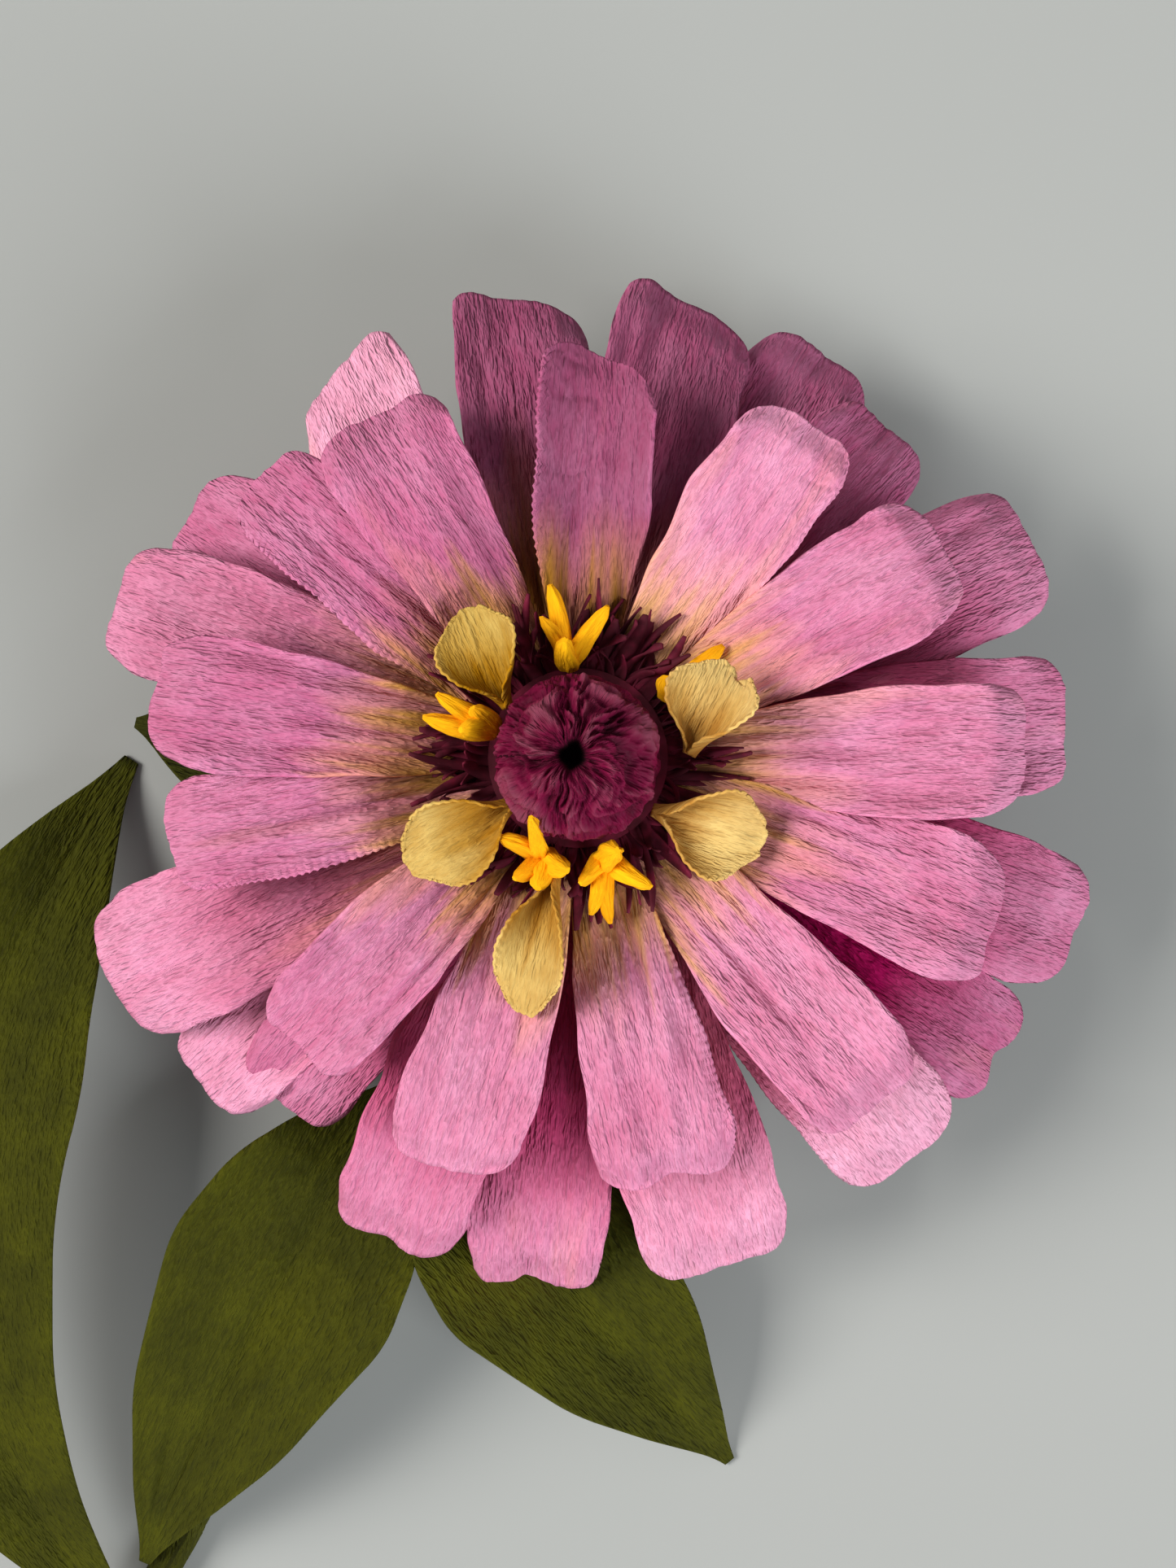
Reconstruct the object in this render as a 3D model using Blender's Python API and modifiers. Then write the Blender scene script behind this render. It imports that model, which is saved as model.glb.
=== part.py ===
"""Handmade crepe paper zinnia on a wrapped wire stem, lying with its head turned up."""

import math

import bmesh
import bpy
from mathutils import Vector

MM = 0.001

# Driving sizes, in millimetres
BLOOM_RADIUS = 53.5
STEM_LENGTH = 158.0
PAPER = 0.5
GAP = 0.3
CORE_RADIUS = 7.6
CORE_BOTTOM = 10.0
CORE_TOP = 24.4
BALL_RADIUS = 8.4
HOLE = (-0.6, 0.2)
HOLE_WIDTH = 1.7
PLEATS = 13
FRINGE_REACH = 17.3
FRINGE_STRIPS = 30
WIRE_RADIUS = 0.95
WRAP_RADIUS = 1.85
STEM_TURN = 242.0

# Heights where each row leaves the core, one below the other
FRINGE_BASE = CORE_TOP - 1.0
FRONT_BASE = FRINGE_BASE - 1.8
MIDDLE_BASE = FRONT_BASE - 3.3
BACK_BASE = MIDDLE_BASE - 3.1
CALYX_BASE = CORE_BOTTOM + 3.2

# Profile of the core where it widens from the stem
CORE_FLARE = (
    (WRAP_RADIUS + 0.5, CORE_BOTTOM),
    (CORE_RADIUS - 1.0, CORE_BOTTOM + 2.6),
    (CORE_RADIUS, CORE_BOTTOM + 4.6),
)

PETAL_FOOT = CORE_RADIUS + GAP + 0.1
BALL_CENTRE = CORE_TOP + GAP + 0.71 * BALL_RADIUS
CREAM_REST = FRINGE_BASE + 1.7
FLORET_REST = FRINGE_BASE + 2.1
FLORET_FOOT = BALL_RADIUS + 1.5
LEAF_REST = 2 * WRAP_RADIUS + GAP + PAPER / 2


def linear(colour):
    """Linear RGBA from an sRGB hex colour."""
    values = [int(colour[i : i + 2], 16) / 255 for i in (1, 3, 5)]
    return [v / 12.92 if v <= 0.04045 else ((v + 0.055) / 1.055) ** 2.4 for v in values] + [1.0]


def material(name, colour, roughness=0.85, metallic=0.0):
    made = bpy.data.materials.new(name)
    made.use_nodes = True
    shader = made.node_tree.nodes["Principled BSDF"]
    shader.inputs["Base Color"].default_value = linear(colour)
    shader.inputs["Roughness"].default_value = roughness
    shader.inputs["Metallic"].default_value = metallic
    made.diffuse_color = linear(colour)
    return made


def along(points, t):
    """Value at t on a smooth curve through (t, value) points."""
    for (t0, v0), (t1, v1) in zip(points, points[1:]):
        if t <= t1:
            part = max(0.0, (t - t0) / (t1 - t0))
            return v0 + (v1 - v0) * part * part * (3 - 2 * part)
    return points[-1][1]


def smooth(points, t):
    """Value at t on a curve that runs through (t, value) points without stops."""
    last = len(points) - 1
    k = next((i for i in range(last) if t <= points[i + 1][0]), last - 1)

    def slope(i):
        low, high = points[max(0, i - 1)], points[min(last, i + 1)]
        return (high[1] - low[1]) / (high[0] - low[0])

    (t0, v0), (t1, v1) = points[k], points[k + 1]
    x = min(1.0, max(0.0, (t - t0) / (t1 - t0)))
    value = (2 * x**3 - 3 * x**2 + 1) * v0 + (3 * x**2 - 2 * x**3) * v1
    return value + (t1 - t0) * ((x**3 - 2 * x**2 + x) * slope(k) + (x**3 - x**2) * slope(k + 1))


def straight(points, t):
    """Value at t on straight lines through (t, value) points."""
    for (t0, v0), (t1, v1) in zip(points, points[1:]):
        if t <= t1:
            return v0 + (v1 - v0) * max(0.0, (t - t0) / (t1 - t0))
    return points[-1][1]


def ease(t, start, end):
    part = min(1.0, max(0.0, (t - start) / (end - start)))
    return part * part * (3 - 2 * part)


def polar(angle, radius):
    turn = math.radians(angle)
    return radius * math.cos(turn), radius * math.sin(turn)


# Rows of petals: height over the share of the reach, then half width over radius
ROWS = {
    "front": {
        "rise": ((0, 0), (0.17, 2.5), (0.35, 5.6), (0.55, 8.0), (0.75, 8.2), (0.9, 6.8), (1, 4.8)),
        "base": FRONT_BASE,
        "reach": 0.8 * BLOOM_RADIUS,
        "claw": ((8, 1.0), (12, 1.6), (15, 2.3), (18, 3.5), (21, 4.5), (26, 5.4), (31, 6.3), (60, 9.0)),
    },
    "middle": {
        "rise": ((0, 0), (0.17, 1.9), (0.35, 4.4), (0.55, 6.0), (0.75, 5.2), (0.9, 2.8), (1, 0.2)),
        "base": MIDDLE_BASE,
        "reach": 0.925 * BLOOM_RADIUS,
        "claw": ((8, 1.0), (14, 1.7), (20, 3.1), (26, 4.5), (31, 5.6), (36, 6.6), (60, 9.5)),
    },
    "back": {
        "rise": ((0, 0), (0.17, 1.8), (0.35, 3.8), (0.55, 4.8), (0.75, 3.6), (0.9, 0.8), (1, -2.4)),
        "base": BACK_BASE,
        "reach": 0.95 * BLOOM_RADIUS,
        "claw": ((8, 1.0), (14, 1.8), (20, 3.2), (28, 5.0), (36, 6.6), (60, 9.5)),
    },
}

# Every petal: direction in degrees, how much longer than its row, width, then what the hand did.
# cup lifts both edges, tilt lifts the left one, curl rolls the tip down, sway bends the axis left,
# skew makes the tip longer on the left, notch cuts it in the middle, lift moves the whole petal.
FRONT = (
    dict(at=1.0, longer=1.9, width=13.2, cup=0.6, curl=2.0, skew=0.6, tilt=-0.7),
    dict(at=29.5, longer=-0.8, width=13.2, cup=0.9, curl=0.6, sway=0.4),
    dict(at=55.5, longer=-2.3, width=12.3, cup=0.5, curl=0.0, tilt=0.5, skew=-0.8),
    dict(at=87.0, longer=-1.6, width=11.8, cup=1.5, curl=-0.8, skew=1.6),
    dict(at=121.5, longer=-2.8, width=14.9, cup=-0.5, curl=0.8, tilt=0.8),
    dict(at=138.6, longer=-0.3, width=10.6, cup=0.3, curl=0.0, lift=-2.0, tilt=0.3),
    dict(at=171.6, longer=0.0, width=13.0, cup=0.5, curl=1.0),
    dict(at=191.4, longer=-0.8, width=11.4, cup=0.3, curl=0.4, lift=-1.7, tilt=0.5),
    dict(at=225.5, longer=-2.3, width=11.5, cup=0.9, curl=0.4),
    dict(at=252.5, longer=0.4, width=13.2, cup=0.7, curl=1.6, sway=-0.4),
    dict(at=282.5, longer=0.7, width=16.1, cup=-0.5, curl=1.2, notch=1.6),
    dict(at=311.0, longer=3.2, width=13.3, cup=0.8, curl=1.4),
    dict(at=338.0, longer=2.2, width=13.9, cup=0.6, curl=0.8, skew=-0.6, tilt=-0.6),
)
MIDDLE = (
    dict(at=3.5, longer=-0.5, width=13.3, cup=0.8, curl=1.2, fold=1.4),
    dict(at=25.5, longer=1.0, width=14.5, cup=-0.5, curl=1.8),
    dict(at=46.5, longer=-4.5, width=12.5, cup=0.9, curl=0.4, lift=0.4),
    dict(at=76.0, longer=-1.5, width=14.5, cup=0.6, curl=0.2, skew=1.8),
    dict(at=98.0, longer=-1.8, width=13.5, cup=0.7, curl=0.0, skew=2.4, lift=-0.5),
    dict(at=120.5, longer=-2.8, width=13.5, cup=0.4, curl=0.8, skew=-2.2),
    dict(at=160.5, longer=-0.5, width=13.5, cup=0.5, curl=1.2),
    dict(at=205.5, longer=2.5, width=15.7, cup=-0.6, curl=1.6),
    dict(at=228.6, longer=-4.0, width=12.5, cup=0.4, curl=0.4, lift=-0.9, tilt=-0.4),
    dict(at=248.5, longer=3.0, width=13.5, cup=0.4, curl=2.0, notch=2.0, tilt=-0.3),
    dict(at=286.0, longer=2.8, width=15.7, cup=0.5, curl=2.2),
    dict(at=310.0, longer=3.0, width=14.5, cup=-0.4, curl=2.6),
    dict(at=341.0, longer=3.5, width=14.0, cup=0.5, curl=1.8),
)
BACK = (
    dict(at=57.0, longer=-2.8, width=13.5, cup=0.5, curl=0.6, sway=1.6),
    dict(at=147.5, longer=-4.3, width=12.5, cup=1.6, curl=0.0),
    dict(at=219.0, longer=-0.3, width=12.5, cup=0.4, curl=1.2, sway=1.6, notch=-1.0),
    dict(at=265.0, longer=2.7, width=14.0, cup=0.4, curl=1.6, notch=1.8),
    dict(at=324.5, longer=2.2, width=13.0, cup=0.5, curl=1.2, notch=1.4),
)

# Small cream petals: foot and tip as direction and reach past the core, width, cup and tip height
CREAMS = (
    dict(foot=(134.0, 2.1), tip=(125.0, 11.0), width=7.6, cup=1.5, height=5.6),
    dict(foot=(26.0, 2.5), tip=(18.5, 11.8), width=8.4, cup=1.7, height=6.0),
    dict(foot=(-29.5, 2.1), tip=(-24.0, 12.2), width=7.8, cup=2.0, height=5.2),
    dict(foot=(262.0, 2.5), tip=(260.0, 17.9), width=6.5, cup=1.5, height=6.6),
    dict(foot=(215.0, 2.2), tip=(209.5, 12.2), width=6.5, cup=1.6, height=5.2),
)

# Star florets: direction, then each finger's bearing from it, its reach past the cup and its height
FLORETS = (
    dict(at=94.0, fingers=((-46, 6.5, 3.4), (-15, 3.8, 6.2), (14, 7.6, 3.0), (43, 4.8, 7.2))),
    dict(at=159.0, fingers=((-30, 5.8, 4.4), (2, 3.4, 7.2), (33, 6.5, 4.2))),
    dict(at=245.0, fingers=((-72, 4.1, 5.4), (-22, 3.8, 4.2), (30, 4.4, 6.0), (73, 3.8, 5.8))),
    dict(at=287.5, fingers=((-40, 5.4, 6.4), (-13, 6.8, 3.8), (15, 2.6, 7.0), (45, 5.4, 4.4))),
    dict(at=52.0, fingers=((-32, 8.4, 5.4), (2, 4.6, 6.6), (36, 4.6, 4.6))),
)

# Stem: height of the wire where it bends from the core down to the table, over distance from the axis
NECK = ((0.0, CORE_BOTTOM - GAP), (1.4, 7.4), (5.4, 4.2), (13.4, 2.2), (24.6, WRAP_RADIUS))
STEM_STATIONS = tuple(distance for distance, _ in NECK) + tuple(
    share * STEM_LENGTH for share in (0.25, 0.44, 0.66, 0.84, 1.0)
)
STEM_BOW = 1.6

# Leaves: share of the stem where the node is, side of the stem, bend and tip of the midrib from the
# node as seen from above, heights of the node, the arch and the tip, half width and where it is widest
LEAVES = (
    dict(node=0.01, side=-2.55, bend=(-25, -0.3), tip=(-44, 5.9), rise=(7.0, 9.0, 3.0), half=8.0, widest=0.6),
    dict(node=0.01, side=2.5, bend=(18, 2.4), tip=(33, 8.4), rise=(7.0, 8.6, 0.0), half=8.5, widest=0.55),
    dict(
        node=0.253, side=-1.2, bend=(-15, -21.7), tip=(-27.5, -50.4),
        rise=(LEAF_REST, 10.0, 4.4), half=12.6, widest=0.5,
    ),
    dict(
        node=0.253, side=1.2, bend=(15, -17.4), tip=(33, -39.4),
        rise=(LEAF_REST, 9.0, 0.0), half=10.5, widest=0.5,
    ),
    dict(
        node=0.658, side=-1.0, bend=(-33, 40.5), tip=(0.1, 92),
        rise=(LEAF_REST, 13.0, 0.0), half=12.0, widest=0.68,
    ),
    dict(
        node=0.658, side=1.0, bend=(9, -30.4), tip=(33, -50.4),
        rise=(LEAF_REST, 11.0, 0.0), half=11.0, widest=0.5,
    ),
)


def stem_point(distance, side=0.0):
    """A place on the stem's axis, or beside it towards the right of its run."""
    across = side + STEM_BOW * math.sin(math.pi * distance / STEM_LENGTH)
    x, y = polar(STEM_TURN, distance)
    off_x, off_y = polar(STEM_TURN + 90, across)
    return Vector((x + off_x, y + off_y, along(NECK, distance)))


def add_object(name, mesh, paint, collection):
    made = bpy.data.objects.new(name, mesh)
    mesh.materials.append(paint)
    collection.objects.link(made)
    for face in mesh.polygons:
        face.use_smooth = True
    return made


def sheet(name, place, rows, columns, paint, collection, thickness=PAPER):
    """A closed paper sheet over place(u, v), u from -1 on the right edge to 1 on the left."""
    made = bmesh.new()
    grid = [
        [made.verts.new(Vector(place(2 * i / columns - 1, v)) * MM) for i in range(columns + 1)]
        for v in rows
    ]
    for lower, upper in zip(grid, grid[1:]):
        for i in range(columns):
            made.faces.new((lower[i + 1], lower[i], upper[i], upper[i + 1]))
    mesh = bpy.data.meshes.new(name)
    made.to_mesh(mesh)
    made.free()
    part = add_object(name, mesh, paint, collection)
    solid = part.modifiers.new("Paper thickness", "SOLIDIFY")
    solid.thickness = thickness * MM
    solid.offset = 0.0
    return part


PETAL_ROWS = {
    "front": (0, 0.14, 0.28, 0.4, 0.53, 0.67, 0.8, 0.9, 0.96, 1),
    "middle": (0, 0.2, 0.38, 0.54, 0.69, 0.82, 0.92, 0.97, 1),
    "back": (0, 0.2, 0.38, 0.54, 0.69, 0.82, 0.92, 0.97, 1),
}
CREAM_ROWS = (0, 0.15, 0.35, 0.55, 0.75, 0.9, 1)
LEAF_ROWS = (0, 0.12, 0.3, 0.5, 0.68, 0.84, 0.94, 1)


def petal_place(
    row, at, longer, width, cup=0.5, tilt=0.0, curl=0.0, sway=0.0, skew=0.0, notch=0.0, fold=0.0, lift=0.0
):
    """Where a petal's paper lies: u runs across it and v along it."""
    shape = ROWS[row]
    length = shape["reach"] + longer - PETAL_FOOT

    def place(u, v):
        end = ease(v, 0.72, 1.0)
        out = PETAL_FOOT + length * v
        out += end * (skew * u - notch * math.exp(-((u / 0.3) ** 2)) - 1.9 * abs(u) ** 4)
        half = min(straight(shape["claw"], PETAL_FOOT + length * v), width / 2)
        half *= 1 - 0.3 * max(0.0, (v - 0.74) / 0.26) ** 3
        side = u * half + sway * v * v
        height = shape["base"] + lift * ease(v, 0.0, 0.2) + smooth(shape["rise"], v)
        open_part = ease(v, 0.1, 0.6)
        height += cup * (u * u - 0.3) * open_part + tilt * u * open_part
        height -= curl * ease(v, 0.75, 1.0)
        if fold:
            over = ease(u, 0.45, 1.0) * ease(v, 0.45, 0.8)
            side -= over * half * 0.22
            height += over * fold
        turn = math.radians(at)
        return (
            out * math.cos(turn) - side * math.sin(turn),
            out * math.sin(turn) + side * math.cos(turn),
            height,
        )

    return place


def petal(row, number, spec, paint, collection):
    name = f"{row}_petal_{number:02d}"
    rows = PETAL_ROWS[row]
    return sheet(name, petal_place(row, **spec), rows, 6 if row == "front" else 4, paint, collection)


def cream_place(foot, tip, width, cup, height):
    """A small petal gathered to a narrow foot, opening to a deep cup."""
    start = Vector(polar(foot[0], CORE_RADIUS + foot[1]))
    end = Vector(polar(tip[0], CORE_RADIUS + tip[1]))
    ahead = (end - start).normalized()
    left = Vector((-ahead.y, ahead.x))
    length = (end - start).length

    def place(u, v):
        half = straight(((0, 0.9), (0.2, 1.5), (0.5, width / 2), (0.8, width / 2), (1, width * 0.28)), v)
        spread = math.sin(u * 1.25) / math.sin(1.25)
        point = start + ahead * length * (v - 0.05 * u * u * v) + left * half * spread
        rise = CREAM_REST + height * math.sin(min(1.0, v / 0.85) * math.pi / 2) - 0.6 * ease(v, 0.85, 1.0)
        return point.x, point.y, rise + cup * (u * u) * ease(v, 0.0, 0.4)

    return place


def centre_ball(paint, collection):
    """The gathered ball: pleats run up to a pinched hole, and the underside is pressed flat."""
    made = bmesh.new()
    bmesh.ops.create_uvsphere(made, u_segments=2 * PLEATS, v_segments=13, radius=1.0)
    for vert in made.verts:
        flat = math.hypot(vert.co.x, vert.co.y)
        turn = math.atan2(vert.co.y, vert.co.x)
        pleat = 0.26 * math.cos(PLEATS * turn) * min(1.0, flat * 1.6) * (1 if vert.co.z > -0.6 else 0)
        up = max(0.0, vert.co.z)
        pinch = 3.6 * math.exp(-((flat * BALL_RADIUS / HOLE_WIDTH) ** 2)) * up
        reach = BALL_RADIUS + pleat
        vert.co = Vector((
            vert.co.x * reach + HOLE[0] * up,
            vert.co.y * reach + HOLE[1] * up,
            max(CORE_TOP + GAP, BALL_CENTRE + vert.co.z * BALL_RADIUS - pinch),
        )) * MM
    bmesh.ops.remove_doubles(made, verts=made.verts, dist=0.00005)
    bmesh.ops.recalc_face_normals(made, faces=made.faces)
    mesh = bpy.data.meshes.new("centre_ball")
    made.to_mesh(mesh)
    made.free()
    return add_object("centre_ball", mesh, paint, collection)


def toothed_ring(name, inner, base, teeth, height, paint, collection, width=1.0):
    """A wound strip with cut teeth: a ring band, and a run of faces on every other side.

    base is (radius, height) of the band's outer edge, and teeth gives each tooth's
    points as (radius, turn within the tooth, height).
    """
    count = len(teeth)
    sides = 2 * count
    made = bmesh.new()

    def ring(radius, level):
        return [made.verts.new((*polar(360 * i / sides, radius), level)) for i in range(sides)]

    low = ring(inner, height)
    edge = ring(*base)
    for i in range(sides):
        nxt = (i + 1) % sides
        made.faces.new((low[i], edge[i], edge[nxt], low[nxt]))
    for number, points in enumerate(teeth):
        right, left = edge[2 * number], edge[(2 * number + 1) % sides]
        for radius, shift, level in points:
            middle = 360 * (2 * number + 0.5) / sides + shift
            spread = 180 / sides * width * base[0] / radius
            new_right = made.verts.new((*polar(middle - spread, radius), level))
            new_left = made.verts.new((*polar(middle + spread, radius), level))
            made.faces.new((right, new_right, new_left, left))
            right, left = new_right, new_left
    for vert in made.verts:
        vert.co *= MM
    mesh = bpy.data.meshes.new(name)
    made.to_mesh(mesh)
    made.free()
    part = add_object(name, mesh, paint, collection)
    solid = part.modifiers.new("Paper thickness", "SOLIDIFY")
    solid.thickness = PAPER * MM
    solid.offset = 0.0
    return part


def fringe_teeth():
    """Dark strips of uneven length, bent a little to either side."""
    teeth = []
    for i in range(FRINGE_STRIPS):
        reach = FRINGE_REACH + 0.9 * math.sin(2.3 * i) - (1.5 if i % 4 == 1 else 0.0)
        bend = 2.2 * math.sin(1.7 * i + 0.6)
        middle = (CORE_RADIUS + 5.0, bend * 0.3, FRINGE_BASE + 2.5)
        teeth.append((middle, (reach, bend, FRINGE_BASE + 4.6)))
    return teeth


def calyx_teeth():
    """Nine pointed scales that cup the underside of the bloom."""
    middle = (CORE_RADIUS + 4.9, 0.0, CALYX_BASE + 0.6)
    tip = (CORE_RADIUS + 7.9, 0.0, CALYX_BASE + 1.0)
    return [(middle, tip)] * 9


# Along a floret's finger: share of its length, half width and half thickness
FINGER_SECTIONS = ((0.35, 0.55, 0.36), (0.75, 0.85, 0.4), (1.0, 0.5, 0.3))


def floret(name, at, fingers, paint, collection):
    """A star floret: a small cup, and a rolled finger drawn out of each of its front sides."""
    root = Vector((*polar(at, FLORET_FOOT), FLORET_REST))
    turns = [math.radians(bearing) for bearing, _, _ in fingers]
    corners = [turns[0] - 0.45] + [(a + b) / 2 for a, b in zip(turns, turns[1:])] + [turns[-1] + 0.45]
    behind = corners[0] + 2 * math.pi - corners[-1]
    corners += [corners[-1] + behind / 3, corners[-1] + 2 * behind / 3]
    made = bmesh.new()

    def spot(turn, reach, level):
        return root + Vector((*polar(at + math.degrees(turn), reach), level))

    rings = [
        [made.verts.new(spot(turn, reach, level)) for turn in corners]
        for reach, level in ((1.0, 0.0), (1.35, 1.2), (1.3, 2.2))
    ]
    count = len(corners)
    made.faces.new(list(reversed(rings[0])))
    made.faces.new(rings[-1])
    for low, high in zip(rings, rings[1:]):
        for i in range(count):
            nxt = (i + 1) % count
            if high is not rings[-1] or i >= len(fingers):
                made.faces.new((low[i], low[nxt], high[nxt], high[i]))
    for i, (bearing, reach, height) in enumerate(fingers):
        section = [rings[1][i], rings[1][i + 1], rings[2][i + 1], rings[2][i]]
        start = spot(turns[i], 1.3, 1.7)
        ahead = spot(turns[i], 1.3 + reach, height) - start
        left = Vector((-ahead.y, ahead.x, 0)).normalized()
        over = ahead.cross(left).normalized()
        for share, width, thick in FINGER_SECTIONS:
            middle = start + ahead * share + Vector((0, 0, 0.8 * math.sin(math.pi * share)))
            grown = [
                made.verts.new(middle + left * width * side + over * thick * top)
                for side, top in ((-1, -1), (1, -1), (1, 1), (-1, 1))
            ]
            for k in range(4):
                nxt = (k + 1) % 4
                made.faces.new((section[k], section[nxt], grown[nxt], grown[k]))
            section = grown
        made.faces.new(section)
    for vert in made.verts:
        vert.co *= MM
    bmesh.ops.recalc_face_normals(made, faces=made.faces)
    mesh = bpy.data.meshes.new(name)
    made.to_mesh(mesh)
    made.free()
    return add_object(name, mesh, paint, collection)


def leaf_place(node, side, bend, tip, rise, half, widest):
    """A pointed leaf with a folded midrib that arches along a bent route."""
    a = stem_point(node * STEM_LENGTH, side).to_2d()
    b = a + Vector(bend)
    c = a + Vector(tip)

    def place(u, v):
        point = a * (1 - v) ** 2 + b * 2 * v * (1 - v) + c * v * v
        ahead = (b - a) * (1 - v) + (c - b) * v
        left = Vector((-ahead.y, ahead.x)).normalized()
        outline = ((0, 0.1), (0.14, 0.42), (0.3, 0.75), (widest, 1.0), (0.8, 0.72), (0.93, 0.36), (1, 0.1))
        wide = half * straight(outline, v)
        low, top, end = rise
        level = low * (1 - v) ** 2 + (2 * top - 0.5 * (low + end)) * 2 * v * (1 - v) + end * v * v
        trough = 0.26 * wide * abs(u)
        height = max(PAPER * 0.62, level + trough * ease(v, 0.0, 0.2) * (1 - ease(v, 0.85, 1.0)))
        return point.x + left.x * wide * u, point.y + left.y * wide * u, height

    return place


def tube(name, radius, paint, collection, wall=0.0, sides=8, longer=0.0):
    """A tube or rod along the stem, its cut ends square to it."""
    points = [stem_point(distance) for distance in STEM_STATIONS]
    points[-1] += (points[-1] - points[-2]).normalized() * longer
    made = bmesh.new()
    rings = []
    for i, point in enumerate(points):
        before = points[max(0, i - 1)]
        after = points[min(len(points) - 1, i + 1)]
        ahead = (after - before).normalized() if i else Vector((0, 0, -1))
        side = ahead.cross(Vector((*polar(STEM_TURN + 90, 1.0), 0))).normalized()
        other = ahead.cross(side)
        rings.append([
            made.verts.new((
                point
                + side * radius * math.cos(2 * math.pi * k / sides)
                + other * radius * math.sin(2 * math.pi * k / sides)
            ) * MM)
            for k in range(sides)
        ])
    for low, high in zip(rings, rings[1:]):
        for k in range(sides):
            nxt = (k + 1) % sides
            made.faces.new((low[k], low[nxt], high[nxt], high[k]))
    if not wall:
        made.faces.new(list(reversed(rings[0])))
        made.faces.new(rings[-1])
    bmesh.ops.recalc_face_normals(made, faces=made.faces)
    mesh = bpy.data.meshes.new(name)
    made.to_mesh(mesh)
    made.free()
    part = add_object(name, mesh, paint, collection)
    if wall:
        solid = part.modifiers.new("Wrap thickness", "SOLIDIFY")
        solid.thickness = wall * MM
        solid.offset = -1.0
    return part


def head_core(paint, collection):
    """The wound paper core, turned from its profile."""
    shoulder = ((CORE_RADIUS, CORE_TOP - 1.4), (CORE_RADIUS - 1.8, CORE_TOP), (0.0, CORE_TOP))
    outline = ((0.0, CORE_BOTTOM), *CORE_FLARE, *shoulder)
    mesh = bpy.data.meshes.new("head_core")
    edges = [(i, i + 1) for i in range(len(outline) - 1)]
    mesh.from_pydata([(x * MM, 0, z * MM) for x, z in outline], edges, [])
    part = add_object("head_core", mesh, paint, collection)
    screw = part.modifiers.new("Turned profile", "SCREW")
    screw.steps = 16
    screw.render_steps = 16
    screw.use_merge_vertices = True
    screw.merge_threshold = 0.00005
    screw.use_normal_calculate = True
    return part


def rest_on_origin(collection):
    """Moves the whole flower so that the middle of its underside is the origin."""
    graph = bpy.context.evaluated_depsgraph_get()
    corners = []
    for part in collection.objects:
        mesh = part.evaluated_get(graph).to_mesh()
        corners += [vert.co.copy() for vert in mesh.vertices]
        part.evaluated_get(graph).to_mesh_clear()
    low = Vector(min(c[i] for c in corners) for i in range(3))
    high = Vector(max(c[i] for c in corners) for i in range(3))
    for part in collection.objects:
        part.location = (-(low.x + high.x) / 2, -(low.y + high.y) / 2, -low.z)


def main():
    for old in list(bpy.data.objects):
        bpy.data.objects.remove(old)
    flower = bpy.data.collections.new("paper_flower")
    bpy.context.scene.collection.children.link(flower)

    pink = material("pink_crepe", "#D98DB8")
    cream = material("cream_crepe", "#E1C882")
    yellow = material("yellow_crepe", "#F5B414")
    burgundy = material("burgundy_crepe", "#641E3C")
    dark = material("fringe_crepe", "#320819")
    green = material("green_crepe", "#5A6018")
    card = material("core_paper", "#8A8468")
    iron = material("florist_wire", "#8C8E8C", 0.4, 1.0)

    for row, specs in (("front", FRONT), ("middle", MIDDLE), ("back", BACK)):
        for number, spec in enumerate(specs, 1):
            petal(row, number, spec, pink, flower)
    for number, spec in enumerate(CREAMS, 1):
        sheet(f"cream_petal_{number}", cream_place(**spec), CREAM_ROWS, 6, cream, flower)
    for number, spec in enumerate(FLORETS, 1):
        floret(f"floret_{number}", **spec, paint=yellow, collection=flower)
    centre_ball(burgundy, flower)
    seat = CORE_RADIUS + GAP + 0.35
    band = (CORE_RADIUS + 3.0, FRINGE_BASE + 1.3)
    toothed_ring("centre_fringe", seat, band, fringe_teeth(), FRINGE_BASE, dark, flower)
    seat = straight([(z, x) for x, z in CORE_FLARE], CALYX_BASE + PAPER) + GAP
    band = (seat + 2.2, CALYX_BASE + 0.3)
    toothed_ring("calyx", seat, band, calyx_teeth(), CALYX_BASE, green, flower, 1.3)
    for number, spec in enumerate(LEAVES, 1):
        sheet(f"leaf_{number}", leaf_place(**spec), LEAF_ROWS, 4, green, flower)
    head_core(card, flower)
    tube("stem_wrap", WRAP_RADIUS, green, flower, wall=WRAP_RADIUS - WIRE_RADIUS - GAP)
    tube("stem_wire", WIRE_RADIUS, iron, flower, sides=6, longer=3.0)
    rest_on_origin(flower)


main()
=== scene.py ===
"""Crepe paper zinnia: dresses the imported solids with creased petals, gathered centre and lit stage."""

import math
from collections import namedtuple

import bmesh
import bpy
from bpy.props import FloatProperty, FloatVectorProperty, IntProperty, PointerProperty
from mathutils import Matrix, Vector, noise


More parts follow.
